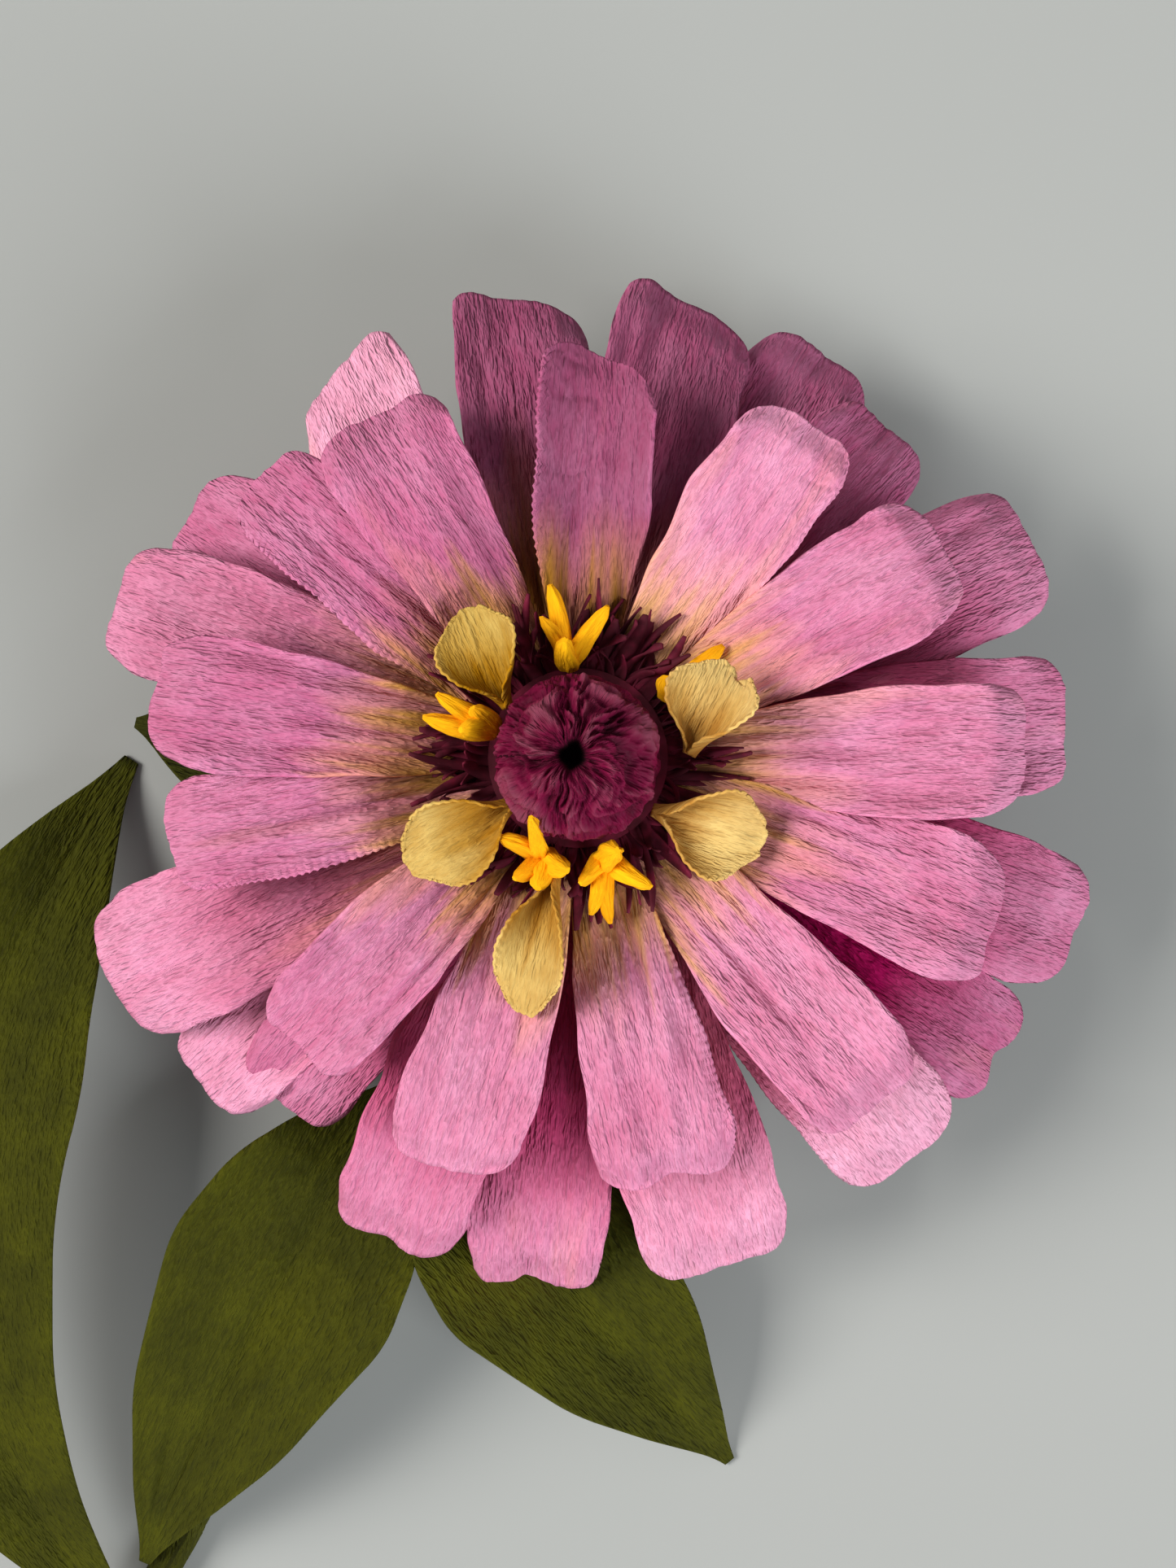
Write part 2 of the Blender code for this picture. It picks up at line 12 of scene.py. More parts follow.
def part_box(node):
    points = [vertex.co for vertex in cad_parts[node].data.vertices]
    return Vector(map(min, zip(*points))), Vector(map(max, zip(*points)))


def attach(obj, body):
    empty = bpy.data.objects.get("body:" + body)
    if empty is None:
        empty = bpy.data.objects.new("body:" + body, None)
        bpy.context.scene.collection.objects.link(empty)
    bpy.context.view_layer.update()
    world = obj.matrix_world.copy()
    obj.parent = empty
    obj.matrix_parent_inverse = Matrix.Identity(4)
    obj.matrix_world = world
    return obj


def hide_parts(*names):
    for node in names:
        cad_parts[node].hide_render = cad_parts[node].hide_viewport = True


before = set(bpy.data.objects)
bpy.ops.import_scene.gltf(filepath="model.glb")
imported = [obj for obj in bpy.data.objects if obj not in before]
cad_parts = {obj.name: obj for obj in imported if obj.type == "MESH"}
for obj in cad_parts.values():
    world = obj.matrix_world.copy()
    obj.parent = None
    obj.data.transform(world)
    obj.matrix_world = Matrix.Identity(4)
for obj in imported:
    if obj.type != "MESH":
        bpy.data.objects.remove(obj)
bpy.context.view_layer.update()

bl_info = {
    "name": "Crepe paper zinnia",
    "version": (1, 0, 0),
    "blender": (4, 5, 0),
    "location": "View3D > Sidebar > Zinnia",
    "description": "Builds a handmade crepe paper zinnia round its packed solids",
    "category": "Object",
}

MM = 0.001

# Places taken from the solids, in millimetres: the core and the bloom's axis
CORE_LOW, CORE_HIGH = (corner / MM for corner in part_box("head_core"))
AXIS = Vector(((CORE_LOW.x + CORE_HIGH.x) / 2, (CORE_LOW.y + CORE_HIGH.y) / 2, 0))
CORE_RADIUS = (CORE_HIGH.x - CORE_LOW.x) / 2
CORE_TOP = CORE_HIGH.z
GAP = 0.3  # Air between pieces that touch in the real flower

# Heights where each row leaves the core, one below the other
FRINGE_BASE = CORE_TOP - 1.0
FRONT_BASE = FRINGE_BASE - 1.8
MIDDLE_BASE = FRONT_BASE - 3.3
BACK_BASE = MIDDLE_BASE - 3.1
CREAM_REST = FRINGE_BASE + 4.6
FLORET_REST = FRINGE_BASE + 2.1
PETAL_FOOT = CORE_RADIUS + GAP + 0.1

# The photograph's frame, in pixels, and the camera over the bloom, in millimetres
IMAGE_HEIGHT = 1927
FOCAL_PIXELS = 3690
CAMERA_HEIGHT = 325.0
CAMERA_OFF_AXIS = (1.0, -2.6)


# Densities of the petals' grids, papers thinner than the rest, a strip before it is stretched
PETAL_COLUMNS, PETAL_ROWS, CRIMPED_ROWS = 40, 76, 170
CREAM_PAPER, STRIP_PAPER = 0.26, 0.22
STRIP_LENGTH = 10

# Light: the room, the wall seen past the table, then each lamp's place and aim from the bloom's foot
# and its size in millimetres, its watts and its colour. The table's half size is in metres.
ROOM_COLOUR, ROOM_STRENGTH = "#F4F2F0", 0.25
WALL_COLOUR, WALL_STRENGTH = "#C4C6C4", 1.0
LAMPS = (
    ("window", (-2600, 300, 2160), (0, 0, 20), 1800, 146.0, "#FFF9F4"),
    ("fill", (1250, -1350, 1120), (0, -60, 20), 1500, 50.0, "#FBFCFF"),
)
TABLE_HALF = 1.8


def length_property(name, default, what):
    """A length with its default in millimetres, kept in metres as Blender's fields show it."""
    return FloatProperty(
        name=name, description=what, default=default * MM, min=0, precision=5, subtype="DISTANCE",
        unit="LENGTH",
    )


class ZinniaSizes(bpy.types.PropertyGroup):
    """Sizes that change how the paper looks."""

    bloom_radius: length_property("Bloom radius", 54.8, "Reach of the longest row of petals")
    paper: length_property("Paper", 0.36, "Thickness of a pink or green sheet")
    grain: length_property("Crepe grain", 0.55, "Distance between the fine creases")
    crease: length_property("Crease depth", 0.26, "Depth of the hand's long creases")
    ball_radius: length_property("Ball radius", 7.9, "Radius of the gathered centre")
    fringe_reach: length_property("Fringe reach", 17.3, "End of the cut strips, from the bloom's axis")
    fringe_strips: IntProperty(
        name="Fringe strips", description="Strips in a full layer of the fringe", default=58, min=6
    )
    stem_length: length_property("Stem length", 158.0, "Wrapped length of the stem")
    wrap_radius: length_property("Wrap radius", 1.8, "Outside of the wrapped stem")


def hex_linear(colour):
    """Linear RGB from an sRGB hex colour."""
    values = [int(colour[i : i + 2], 16) / 255 for i in (1, 3, 5)]
    return tuple(v / 12.92 if v <= 0.04045 else ((v + 0.055) / 1.055) ** 2.4 for v in values)


def colour_property(name, colour, what):
    """A colour, from its sRGB hex default."""
    return FloatVectorProperty(
        name=name, description=what, subtype="COLOR", size=3, min=0, max=1, default=hex_linear(colour)
    )


class ZinniaColours(bpy.types.PropertyGroup):
    """Colours of the dyed papers."""

    # Each deep colour is both darker dye in clouds and painted shade in the valleys of the crepe
    petal: colour_property("Petal", "#D88FB1", "Pink of the petals")
    petal_deep: colour_property("Petal deep", "#B44470", "Pink where the dye is stronger")
    # Painted shade: the deeper magenta laid where the row above shades the petals
    painted_shade: colour_property("Petal hidden", "#AC1C58", "Strong dye under the row above")
    wash: colour_property("Wash", "#E29C8C", "Peach wash near the centre")
    stain: colour_property("Stain", "#D2A04C", "Ochre streaks near the centre")
    cream: colour_property("Cream", "#E0C47C", "Small cream petals")
    # Painted shade: cream_deep and the foot colour also darken the inside of the rolled cups and their feet
    cream_deep: colour_property("Cream deep", "#A8742A", "Cream in the creases")
    cream_foot_shade: colour_property("Cream foot", "#B98A3A", "Cream at the rolled foot")
    yellow: colour_property("Yellow", "#FFBE0C", "Star florets")
    yellow_deep: colour_property("Yellow deep", "#E08504", "Yellow in the rolls")
    ball: colour_property("Ball", "#7C1C40", "Gathered centre")
    ball_deep: colour_property("Ball deep", "#300414", "Gathered centre in the folds")
    fringe: colour_property("Fringe", "#4A0C1E", "Cut strips")
    fringe_light: colour_property("Fringe light", "#8C1E42", "Cut strips where the dye is thin")
    green: colour_property("Green", "#444600", "Leaves and stem")
    green_deep: colour_property("Green deep", "#1C1E00", "Leaves in the creases")
    floor: colour_property("Floor", "#9FA3A1", "Table")


def millimetres(name):
    """One of the panel's lengths, in millimetres."""
    return getattr(bpy.context.scene.zinnia_sizes, name) / MM


def colours():
    """The panel's colours."""
    return bpy.context.scene.zinnia_colours


def along(points, t):
    """Value at t on a smooth curve through (t, value) points."""
    for (t0, v0), (t1, v1) in zip(points, points[1:]):
        if t <= t1:
            part = max(0.0, (t - t0) / (t1 - t0))
            return v0 + (v1 - v0) * part * part * (3 - 2 * part)
    return points[-1][1]


def smooth(points, t):
    """Value at t on a curve that passes through (t, value) points without stops."""
    last = len(points) - 1
    k = next((i for i in range(last) if t <= points[i + 1][0]), last - 1)

    def slope(i):
        low, high = points[max(0, i - 1)], points[min(last, i + 1)]
        return (high[1] - low[1]) / (high[0] - low[0])

    (t0, v0), (t1, v1) = points[k], points[k + 1]
    span = t1 - t0
    x = min(1.0, max(0.0, (t - t0) / span))
    bend = (2 * x**3 - 3 * x**2 + 1) * v0 + (3 * x**2 - 2 * x**3) * v1
    return bend + span * ((x**3 - 2 * x**2 + x) * slope(k) + (x**3 - x**2) * slope(k + 1))


def straight(points, t):
    """Value at t on straight lines through (t, value) points."""
    for (t0, v0), (t1, v1) in zip(points, points[1:]):
        if t <= t1:
            return v0 + (v1 - v0) * max(0.0, (t - t0) / (t1 - t0))
    return points[-1][1]


def rounded(points, t, width=0.06):
    """straight() with its corners taken off."""
    return sum(straight(points, t + width * k) for k in (-1, -0.5, 0, 0.5, 1)) / 5


def ease(t, start, end):
    """0 up to start, 1 from end on, and a smooth rise between them."""
    part = min(1.0, max(0.0, (t - start) / (end - start)))
    return part * part * (3 - 2 * part)


def polar(angle, radius):
    """X and Y of a point at an angle in degrees and a distance."""
    turn = math.radians(angle)
    return radius * math.cos(turn), radius * math.sin(turn)


def ripple(x, y, seed):
    """Smooth noise from -1 to 1."""
    return noise.noise(Vector((x, y, seed * 7.31)))


# Petals, leaves and florets, from the photograph

# One row of petals: the height where it leaves the core, its share of the bloom's radius, its rise
# over the share of a petal's length, its half width over the distance from the axis, and how much
# painted shade it gets where the row above covers it
Row = namedtuple("Row", "base share rise claw covered")

ROWS = {
    "front": Row(
        FRONT_BASE,
        0.772,
        ((0, 0), (0.17, 2.5), (0.35, 5.6), (0.55, 8.1), (0.75, 9.0), (0.9, 8.9), (1, 8.0)),
        ((8, 2.4), (12, 3.2), (15, 3.9), (18, 4.6), (22, 5.3), (28, 6.1), (34, 6.7), (60, 9.0)),
        0.0,
    ),
    "middle": Row(
        MIDDLE_BASE,
        0.925,
        ((0, 0), (0.17, 1.9), (0.35, 4.3), (0.55, 5.5), (0.75, 4.5), (0.9, 2.0), (1, -0.6)),
        ((8, 2.4), (14, 3.4), (20, 4.8), (26, 5.9), (32, 6.7), (38, 7.4), (60, 9.5)),
        0.85,
    ),
    "back": Row(
        BACK_BASE,
        0.95,
        ((0, 0), (0.17, 1.8), (0.35, 3.8), (0.55, 4.8), (0.75, 3.6), (0.9, 0.8), (1, -2.4)),
        ((8, 2.4), (14, 3.4), (20, 4.6), (28, 5.8), (36, 6.8), (60, 9.5)),
        0.9,
    ),
}

# Each petal: direction in degrees, how much longer than its row, width, then what the hand did.
# cup lifts both edges, tilt lifts the left one, curl rolls the tip down, sway bends the axis left,
# skew makes the tip longer on the left, notch cuts it in the middle, lift moves the whole petal,
# crimp is how much the right and left edges are crinkled, and the shading value is painted light
# above zero and painted shade below it, set by how each petal faces the light.
PETALS = {
    "front": (
        dict(at=1.0, longer=1.9, width=13.2, cup=0.6, tilt=-0.7, curl=2.0, skew=0.6),
        dict(at=29.5, longer=-0.8, width=13.2, cup=0.9, curl=0.6, sway=0.4, painted_shading=-0.05),
        dict(at=55.5, longer=-2.3, width=12.3, cup=0.5, tilt=0.5, skew=-0.8, crimp=(0.3, 0), painted_shading=0.12),
        dict(at=87.0, longer=-2.6, width=11.4, cup=2.2, curl=-0.8, skew=1.6, crimp=(0, 0.9), painted_shading=-0.95),
        dict(at=121.5, longer=-2.8, width=14.9, cup=-0.5, tilt=0.8, curl=0.8, painted_shading=-0.3),
        dict(at=138.6, longer=-0.3, width=10.6, cup=0.3, tilt=0.3, lift=-2.0, crimp=(0, 0.9), painted_shading=-0.3),
        dict(at=171.6, longer=0.0, width=13.0, cup=0.5, curl=1.0, painted_shading=-0.25),
        dict(
            at=191.4, longer=-0.8, width=11.4, cup=0.3, tilt=0.5, curl=0.4, lift=-1.7,
            crimp=(0, 0.9), painted_shading=-0.15,
        ),
        dict(at=225.5, longer=-2.3, width=11.5, cup=0.9, curl=0.4, painted_shading=-0.1),
        dict(at=252.5, longer=0.4, width=13.2, cup=0.7, curl=1.6, sway=-0.4, painted_shading=0.1),
        dict(at=282.5, longer=0.7, width=16.1, cup=-0.5, curl=1.2, notch=0.9, crimp=(0, 0.5), painted_shading=0.03),
        dict(at=311.0, longer=3.2, width=13.3, cup=0.8, curl=1.4, painted_shading=0.1),
        dict(at=338.0, longer=2.2, width=13.9, cup=0.6, tilt=-0.6, curl=0.8, skew=-0.6, painted_shading=-0.08),
    ),
    "middle": (
        dict(at=4.5, longer=-0.5, width=14.8, cup=0.8, curl=1.2, fold=1.4, painted_shading=-0.1),
        dict(at=25.5, longer=1.0, width=14.5, cup=-0.5, curl=1.8, painted_shading=-0.15),
        dict(at=46.5, longer=-4.5, width=12.5, cup=0.9, curl=0.4, lift=0.4, painted_shading=-0.5),
        dict(at=76.0, longer=-2.4, width=14.5, cup=0.6, curl=0.2, skew=1.8, painted_shading=-0.9),
        dict(at=98.0, longer=-3.0, width=13.5, cup=0.7, skew=2.4, lift=-0.5, painted_shading=-0.95),
        dict(at=127.0, longer=-4.0, width=13.8, cup=0.4, sway=-4.5, skew=-1.3, painted_shading=0.55),
        dict(at=160.5, longer=-0.5, width=13.5, cup=0.5, curl=1.2, painted_shading=0.1),
        dict(at=205.5, longer=2.5, width=15.7, cup=-0.6, curl=1.6, painted_shading=0.2),
        dict(at=228.6, longer=-4.0, width=12.5, cup=0.4, tilt=-0.4, curl=0.4, lift=-0.9, painted_shading=-0.2),
        dict(at=248.5, longer=3.0, width=13.5, cup=0.4, tilt=-0.3, curl=2.0, notch=0.7),
        dict(at=286.0, longer=3.6, width=15.7, cup=0.5, curl=2.2, painted_shading=0.4),
        dict(at=310.0, longer=3.0, width=14.5, cup=-0.4, curl=2.6, crimp=(0.5, 0.5), painted_shading=0.6),
        dict(at=341.0, longer=3.5, width=14.0, cup=0.5, curl=1.8, painted_shading=-0.2),
    ),
    "back": (
        dict(at=57.0, longer=-2.8, width=13.5, cup=0.5, curl=0.6, sway=1.6, painted_shading=-0.5),
        dict(at=147.5, longer=-4.3, width=12.5, cup=1.6, painted_shading=-0.2),
        dict(at=219.0, longer=-0.3, width=12.5, cup=0.4, curl=1.2, sway=1.6, painted_shading=0.3),
        dict(at=265.0, longer=3.4, width=14.0, cup=0.4, curl=1.6, notch=0.6),
        dict(at=324.5, longer=2.2, width=13.0, cup=0.5, curl=1.2, notch=1.4, painted_shading=-0.4),
    ),
}

# Small cream petals: foot and tip from the axis, width of the sheet, how far it is rolled and turned
# in degrees, how high it rises above the fringe, then as the petals
CREAMS = (
    # Creams with a shading value below zero carry painted shade inside their rolled cups
    dict(
        foot=(-6.8, 5.0), tip=(-11.0, 14.6), width=9.0, roll=112, height=2.6,
        turned=-14, curl=0.4, painted_shading=-0.4,
    ),
    dict(foot=(11.2, 0.2), tip=(15.6, 9.1), width=9.8, roll=96, height=3.4, turned=-26, notch=1.4),
    dict(foot=(7.4, -5.0), tip=(18.4, -8.0), width=10.0, roll=112, height=2.2, turned=16, curl=0.6),
    dict(
        foot=(-1.9, -11.0), tip=(-5.3, -25.3), width=7.8, roll=112, height=3.6,
        turned=22, curl=1.2, painted_shading=-0.15,
    ),
    dict(
        foot=(-6.2, -4.2), tip=(-17.0, -10.4), width=9.0, roll=100, height=2.4,
        turned=-12, curl=0.6, painted_shading=-0.25,
    ),
)

# Star florets: root from the axis, then each rolled finger's run from the root and its thickness
FLORETS = (
    dict(
        root=(-0.9, 9.3),
        fingers=(
            (-2.1, 7.6, 3.4, 1.0), (-2.4, 4.6, 4.4, 0.7), (-0.2, 2.2, 5.2, 1.1), (3.5, 5.8, 3.4, 0.9),
        ),
    ),
    dict(
        root=(-8.5, 2.9),
        fingers=(
            (-5.2, 3.6, 3.0, 1.0), (-6.8, 0.8, 2.2, 1.0), (-3.0, -0.4, 4.0, 1.1), (-1.6, 2.2, 3.4, 1.0),
        ),
    ),
    dict(
        root=(-3.4, -9.9),
        fingers=(
            (-1.4, 4.0, 9.6, 0.95), (-4.0, 2.3, 4.4, 0.9), (-3.0, -1.8, 3.8, 0.9), (-0.2, -3.0, 4.4, 1.0),
            (2.5, -1.0, 5.0, 1.1),
        ),
    ),
    dict(
        root=(2.6, -9.9),
        fingers=(
            (-2.6, -2.2, 3.4, 0.9), (-1.1, -5.6, 2.6, 0.9), (0.9, -6.4, 2.6, 0.8), (4.4, -3.1, 3.4, 1.0),
            (1.4, 0.6, 5.4, 1.3),
        ),
    ),
    dict(root=(9.3, 6.4), fingers=((4.9, 5.0, 0.2, 1.0), (2.0, 2.2, 0.4, 1.0), (-0.4, 1.6, 2.4, 1.1))),
)

# Stem: its direction in degrees, how far it bows to the side, the solid wrap's radius, and the height
# of the wire where it bends from the core down to the table, over distance from the axis
STEM_TURN = 242.0
STEM_BOW = 1.6
SOLID_WRAP = 1.85
NECK = ((0.0, CORE_LOW.z - GAP), (1.4, 7.4), (5.4, 4.2), (13.4, 2.2), (24.6, SOLID_WRAP))

# Leaves: share of the stem where the node is, side of the stem, bend and tip of the midrib from the
# node as seen from above, heights of the node, the arch and the tip, half width and where it is widest
LEAF_REST = 4.25
LEAVES = (
    # Leaf 1's shading value below zero is painted shade where the bloom shades it
    dict(
        node=0.01, side=-2.55, bend=(-25, -0.3), tip=(-44.5, 4.2),
        rise=(7.0, 9.0, 3.0), half=9.0, widest=0.6, painted_shading=-0.9,
    ),
    dict(node=0.01, side=2.5, bend=(18, 2.4), tip=(33, 8.4), rise=(7.0, 8.6, 0.0), half=8.5, widest=0.55),
    dict(
        node=0.253, side=-1.2, bend=(-15, -21.7), tip=(-27.5, -50.4),
        rise=(LEAF_REST, 10.0, 4.4), half=12.6, widest=0.42,
    ),
    dict(
        node=0.253, side=1.2, bend=(15, -17.4), tip=(33, -39.4),
        rise=(LEAF_REST, 9.0, 0.0), half=12.5, widest=0.42,
    ),
    dict(
        node=0.658, side=-1.0, bend=(-33, 40.5), tip=(0.1, 92),
        rise=(LEAF_REST, 13.0, 0.0), half=12.0, widest=0.68,
    ),
    dict(
        node=0.658, side=1.0, bend=(9, -30.4), tip=(33, -50.4),
        rise=(LEAF_REST, 11.0, 0.0), half=11.0, widest=0.5,
    ),
)


# Materials


def add_node(tree, kind, settings=None, inputs=None):
    """Adds a node with its settings, and sets or links its inputs, in order or by name or number.

    A node among the inputs stands for its first output.
    """
    made = tree.nodes.new(kind)
    for key, value in (settings or {}).items():
        setattr(made, key, value)
    for key, value in inputs.items() if isinstance(inputs, dict) else enumerate(inputs or ()):
        if isinstance(value, bpy.types.Node):
            value = value.outputs[0]
        if isinstance(value, bpy.types.NodeSocket):
            tree.links.new(value, made.inputs[key])
        else:
            made.inputs[key].default_value = value
    return made


def blank_material(name):
    """A new material, its node tree and its shader."""
    made = bpy.data.materials.new(name)
    made.use_nodes = True
    return made, made.node_tree, made.node_tree.nodes["Principled BSDF"]


def crepe_paper(
    name, colour, deep, stain=None, painted_shade=None, stain_end=0.64, bump=0.5, rough=0.85, mottle=0.36
):
    """Dyed crepe paper, creped in a machine and cut by hand.

    It gives the eye a dull, dry surface with fine creases along the grain, dye that sits darker in
    clouds (mottle), painted shade in the valleys of the creases, streaks of stain up to stain_end of
    the length, and painted shade in its own colour where the row above keeps the light off. The UV map
    is the flat sheet at 100 mm to one unit, its V along the grain. Attributes of the sheet: a shading
    value for each piece, painted light above zero and painted shade below it, reach how far out a point
    is, rim how near the cut edge, and under how much painted shade the row above casts.
    """
    made, tree, shader = blank_material(name)
    grain = 100.0 / millimetres("grain")
    flat = add_node(tree, "ShaderNodeUVMap", {"uv_map": "sheet"})
    painted_shading, reach, rim = (
        add_node(tree, "ShaderNodeAttribute", {"attribute_name": label}).outputs["Fac"]
        for label in ("painted_shading", "reach", "rim")
    )

    def streaks(across, lengthwise, detail):
        """Noise drawn out along the grain."""
        scaled = add_node(tree, "ShaderNodeMapping", inputs={0: flat, "Scale": (across, lengthwise, 1)})
        return add_node(
            tree,
            "ShaderNodeTexNoise",
            {"noise_dimensions": "2D"},
            {"Vector": scaled, "Scale": 1.0, "Detail": detail, "Roughness": 0.6},
        ).outputs["Fac"]

    def ridged(value):
        """Thin crests where the noise crosses its middle."""
        centred = add_node(tree, "ShaderNodeMath", {"operation": "MULTIPLY_ADD"}, (value, 4.4, -2.2))
        size_of = add_node(tree, "ShaderNodeMath", {"operation": "ABSOLUTE"}, {0: centred})
        return add_node(
            tree, "ShaderNodeMath", {"operation": "SUBTRACT", "use_clamp": True}, (1.0, size_of)
        )

    crests = ridged(streaks(grain * 0.85, grain * 0.19, 2.0))
    fibre = streaks(grain * 1.25, grain * 0.2, 2.0)
    fine = add_node(tree, "ShaderNodeMath", {"operation": "MULTIPLY_ADD"}, (crests, 0.5, fibre))
    broad = streaks(grain * 0.3, grain * 0.04, 2.0)
    cloud = streaks(14.0, 9.0, 3.0)
    fine_part = add_node(tree, "ShaderNodeMapRange", inputs=(fine, 0.45, 1.0, 0.0, 1.0))
    deep_part = add_node(tree, "ShaderNodeMapRange", inputs=(cloud, 0.35, 0.72, mottle, 0.0))
    mixed = add_node(
        tree,
        "ShaderNodeMix",
        {"data_type": "RGBA"},
        {"Factor": deep_part, 6: (*colour, 1), 7: (*deep, 1)},
    ).outputs[2]
    # Painted shade: the valleys of the fine creases are mixed towards the deep colour
    valley = add_node(tree, "ShaderNodeMapRange", inputs=(fine_part, 0.0, 1.0, 0.26, 0.0))
    mixed = add_node(
        tree, "ShaderNodeMix", {"data_type": "RGBA"}, {"Factor": valley, 6: mixed, 7: (*deep, 1)}
    ).outputs[2]
    if stain:
        near = add_node(tree, "ShaderNodeMapRange", inputs=(reach, stain_end, stain_end * 0.34, 0.0, 1.0))
        for drop, across, low, strength in ((stain[0], 0.1, 0.64, 0.7), (stain[1], 0.34, 0.85, 0.85)):
            streaky = streaks(grain * across, grain * 0.018, 2.0)
            total = add_node(tree, "ShaderNodeMath", {"operation": "MULTIPLY_ADD"}, (near, 0.55, streaky))
            part = add_node(tree, "ShaderNodeMapRange", inputs=(total, low, low + 0.34, 0.0, strength))
            mixed = add_node(
                tree, "ShaderNodeMix", {"data_type": "RGBA"}, {"Factor": part, 6: mixed, 7: (*drop, 1)}
            ).outputs[2]
    # Painted shade under the row above, mixed in by the under layer
    if painted_shade:
        under = add_node(tree, "ShaderNodeAttribute", {"attribute_name": "under"}).outputs["Fac"]
        mixed = add_node(
            tree, "ShaderNodeMix", {"data_type": "RGBA"}, {"Factor": under, 6: mixed, 7: (*painted_shade, 1)}
        ).outputs[2]
    # Painted light and shade: each piece's shading value lightens or darkens the colour and deepens its
    # saturation in shade; near the cut edges it is lighter
    value = add_node(tree, "ShaderNodeMath", {"operation": "MULTIPLY_ADD"}, (painted_shading, 0.52, 1.0))
    lighter = add_node(tree, "ShaderNodeMath", {"operation": "MULTIPLY_ADD"}, (rim, 0.16, value))
    clamped_shading = add_node(tree, "ShaderNodeMath", {"operation": "MAXIMUM"}, (painted_shading, -0.5))
    saturation = add_node(tree, "ShaderNodeMath", {"operation": "MULTIPLY_ADD"}, (clamped_shading, -0.27, 1.0))
    dyed = add_node(
        tree, "ShaderNodeHueSaturation", inputs={"Saturation": saturation, "Value": lighter, "Color": mixed}
    )
    tree.links.new(dyed.outputs[0], shader.inputs["Base Color"])
    shader.inputs["Roughness"].default_value = rough
    shader.inputs["Specular IOR Level"].default_value = 0.15
    height = add_node(tree, "ShaderNodeMath", {"operation": "MULTIPLY_ADD"}, (broad, 1.0, fine))
    bumped = add_node(
        tree, "ShaderNodeBump", inputs={"Strength": bump, "Distance": 0.0004, "Height": height}
    )
    tree.links.new(bumped.outputs[0], shader.inputs["Normal"])
    return made


def florist_wire():
    """Annealed iron florist's wire, drawn: a dull grey metal with a soft shine."""
    made, _, shader = blank_material("annealed_iron_wire")
    shader.inputs["Base Color"].default_value = (*hex_linear("#8C8E8C"), 1)
    shader.inputs["Metallic"].default_value = 1.0
    shader.inputs["Roughness"].default_value = 0.42
    return made


def wound_core_paper():
    """Uncoated craft paper wound to a core: matt, pale brown."""
    made, _, shader = blank_material("craft_paper_core")
    shader.inputs["Base Color"].default_value = (*hex_linear("#8A8468"), 1)
    shader.inputs["Roughness"].default_value = 0.9
    return made


def fringe_paper():
    """Dark crepe cut into a fringe: dull and nearly black, with spots where the dye is thin."""
    made, tree, shader = blank_material("crepe_paper_fringe")
    tone = colours()
    place = add_node(tree, "ShaderNodeTexCoord").outputs["Object"]
    mottle = add_node(tree, "ShaderNodeTexNoise", inputs={"Vector": place, "Scale": 420.0, "Detail": 3.0})
    thin = add_node(tree, "ShaderNodeMapRange", inputs=(mottle, 0.45, 0.75, 0.0, 0.7))
    mixed = add_node(
        tree,
        "ShaderNodeMix",
        {"data_type": "RGBA"},
        {"Factor": thin, 6: (*tone.fringe, 1), 7: (*tone.fringe_light, 1)},
    ).outputs[2]
    tree.links.new(mixed, shader.inputs["Base Color"])
    shader.inputs["Roughness"].default_value = 0.78
    shader.inputs["Specular IOR Level"].default_value = 0.25
    return made


def painted_table():
    """A table top painted pale grey: even and matt, so that only shadows show on it."""
    made, _, shader = blank_material("painted_table")
    shader.inputs["Base Color"].default_value = (*colours().floor, 1)
    shader.inputs["Roughness"].default_value = 0.9
    shader.inputs["Specular IOR Level"].default_value = 0.2
    return made


# Meshes


def new_part(made, name):
    """Turns a bmesh into an object of the scene."""
    mesh = bpy.data.meshes.new(name)
    made.to_mesh(mesh)
    made.free()
    part = bpy.data.objects.new(name, mesh)
    bpy.context.scene.collection.objects.link(part)
    return part


def sheet_layers(made):
    """The layers that crepe_paper reads: the flat sheet, then reach, tint and rim."""
    flat = made.loops.layers.uv.new("sheet")
    return (flat, *(made.verts.layers.float.new(name) for name in ("reach", "painted_shading", "rim")))


def lay_flat(face, uv, spots):
    """Smooths a face and gives its corners their places on the flat sheet."""
    face.smooth = True
    for loop in face.loops:
        loop[uv].uv = spots[loop.vert]


def thicken(part, millimetres_thick, offset):
    """Gives a sheet the thickness of its paper."""
    solid = part.modifiers.new("Paper thickness", "SOLIDIFY")
    solid.thickness = millimetres_thick * MM
    solid.offset = offset


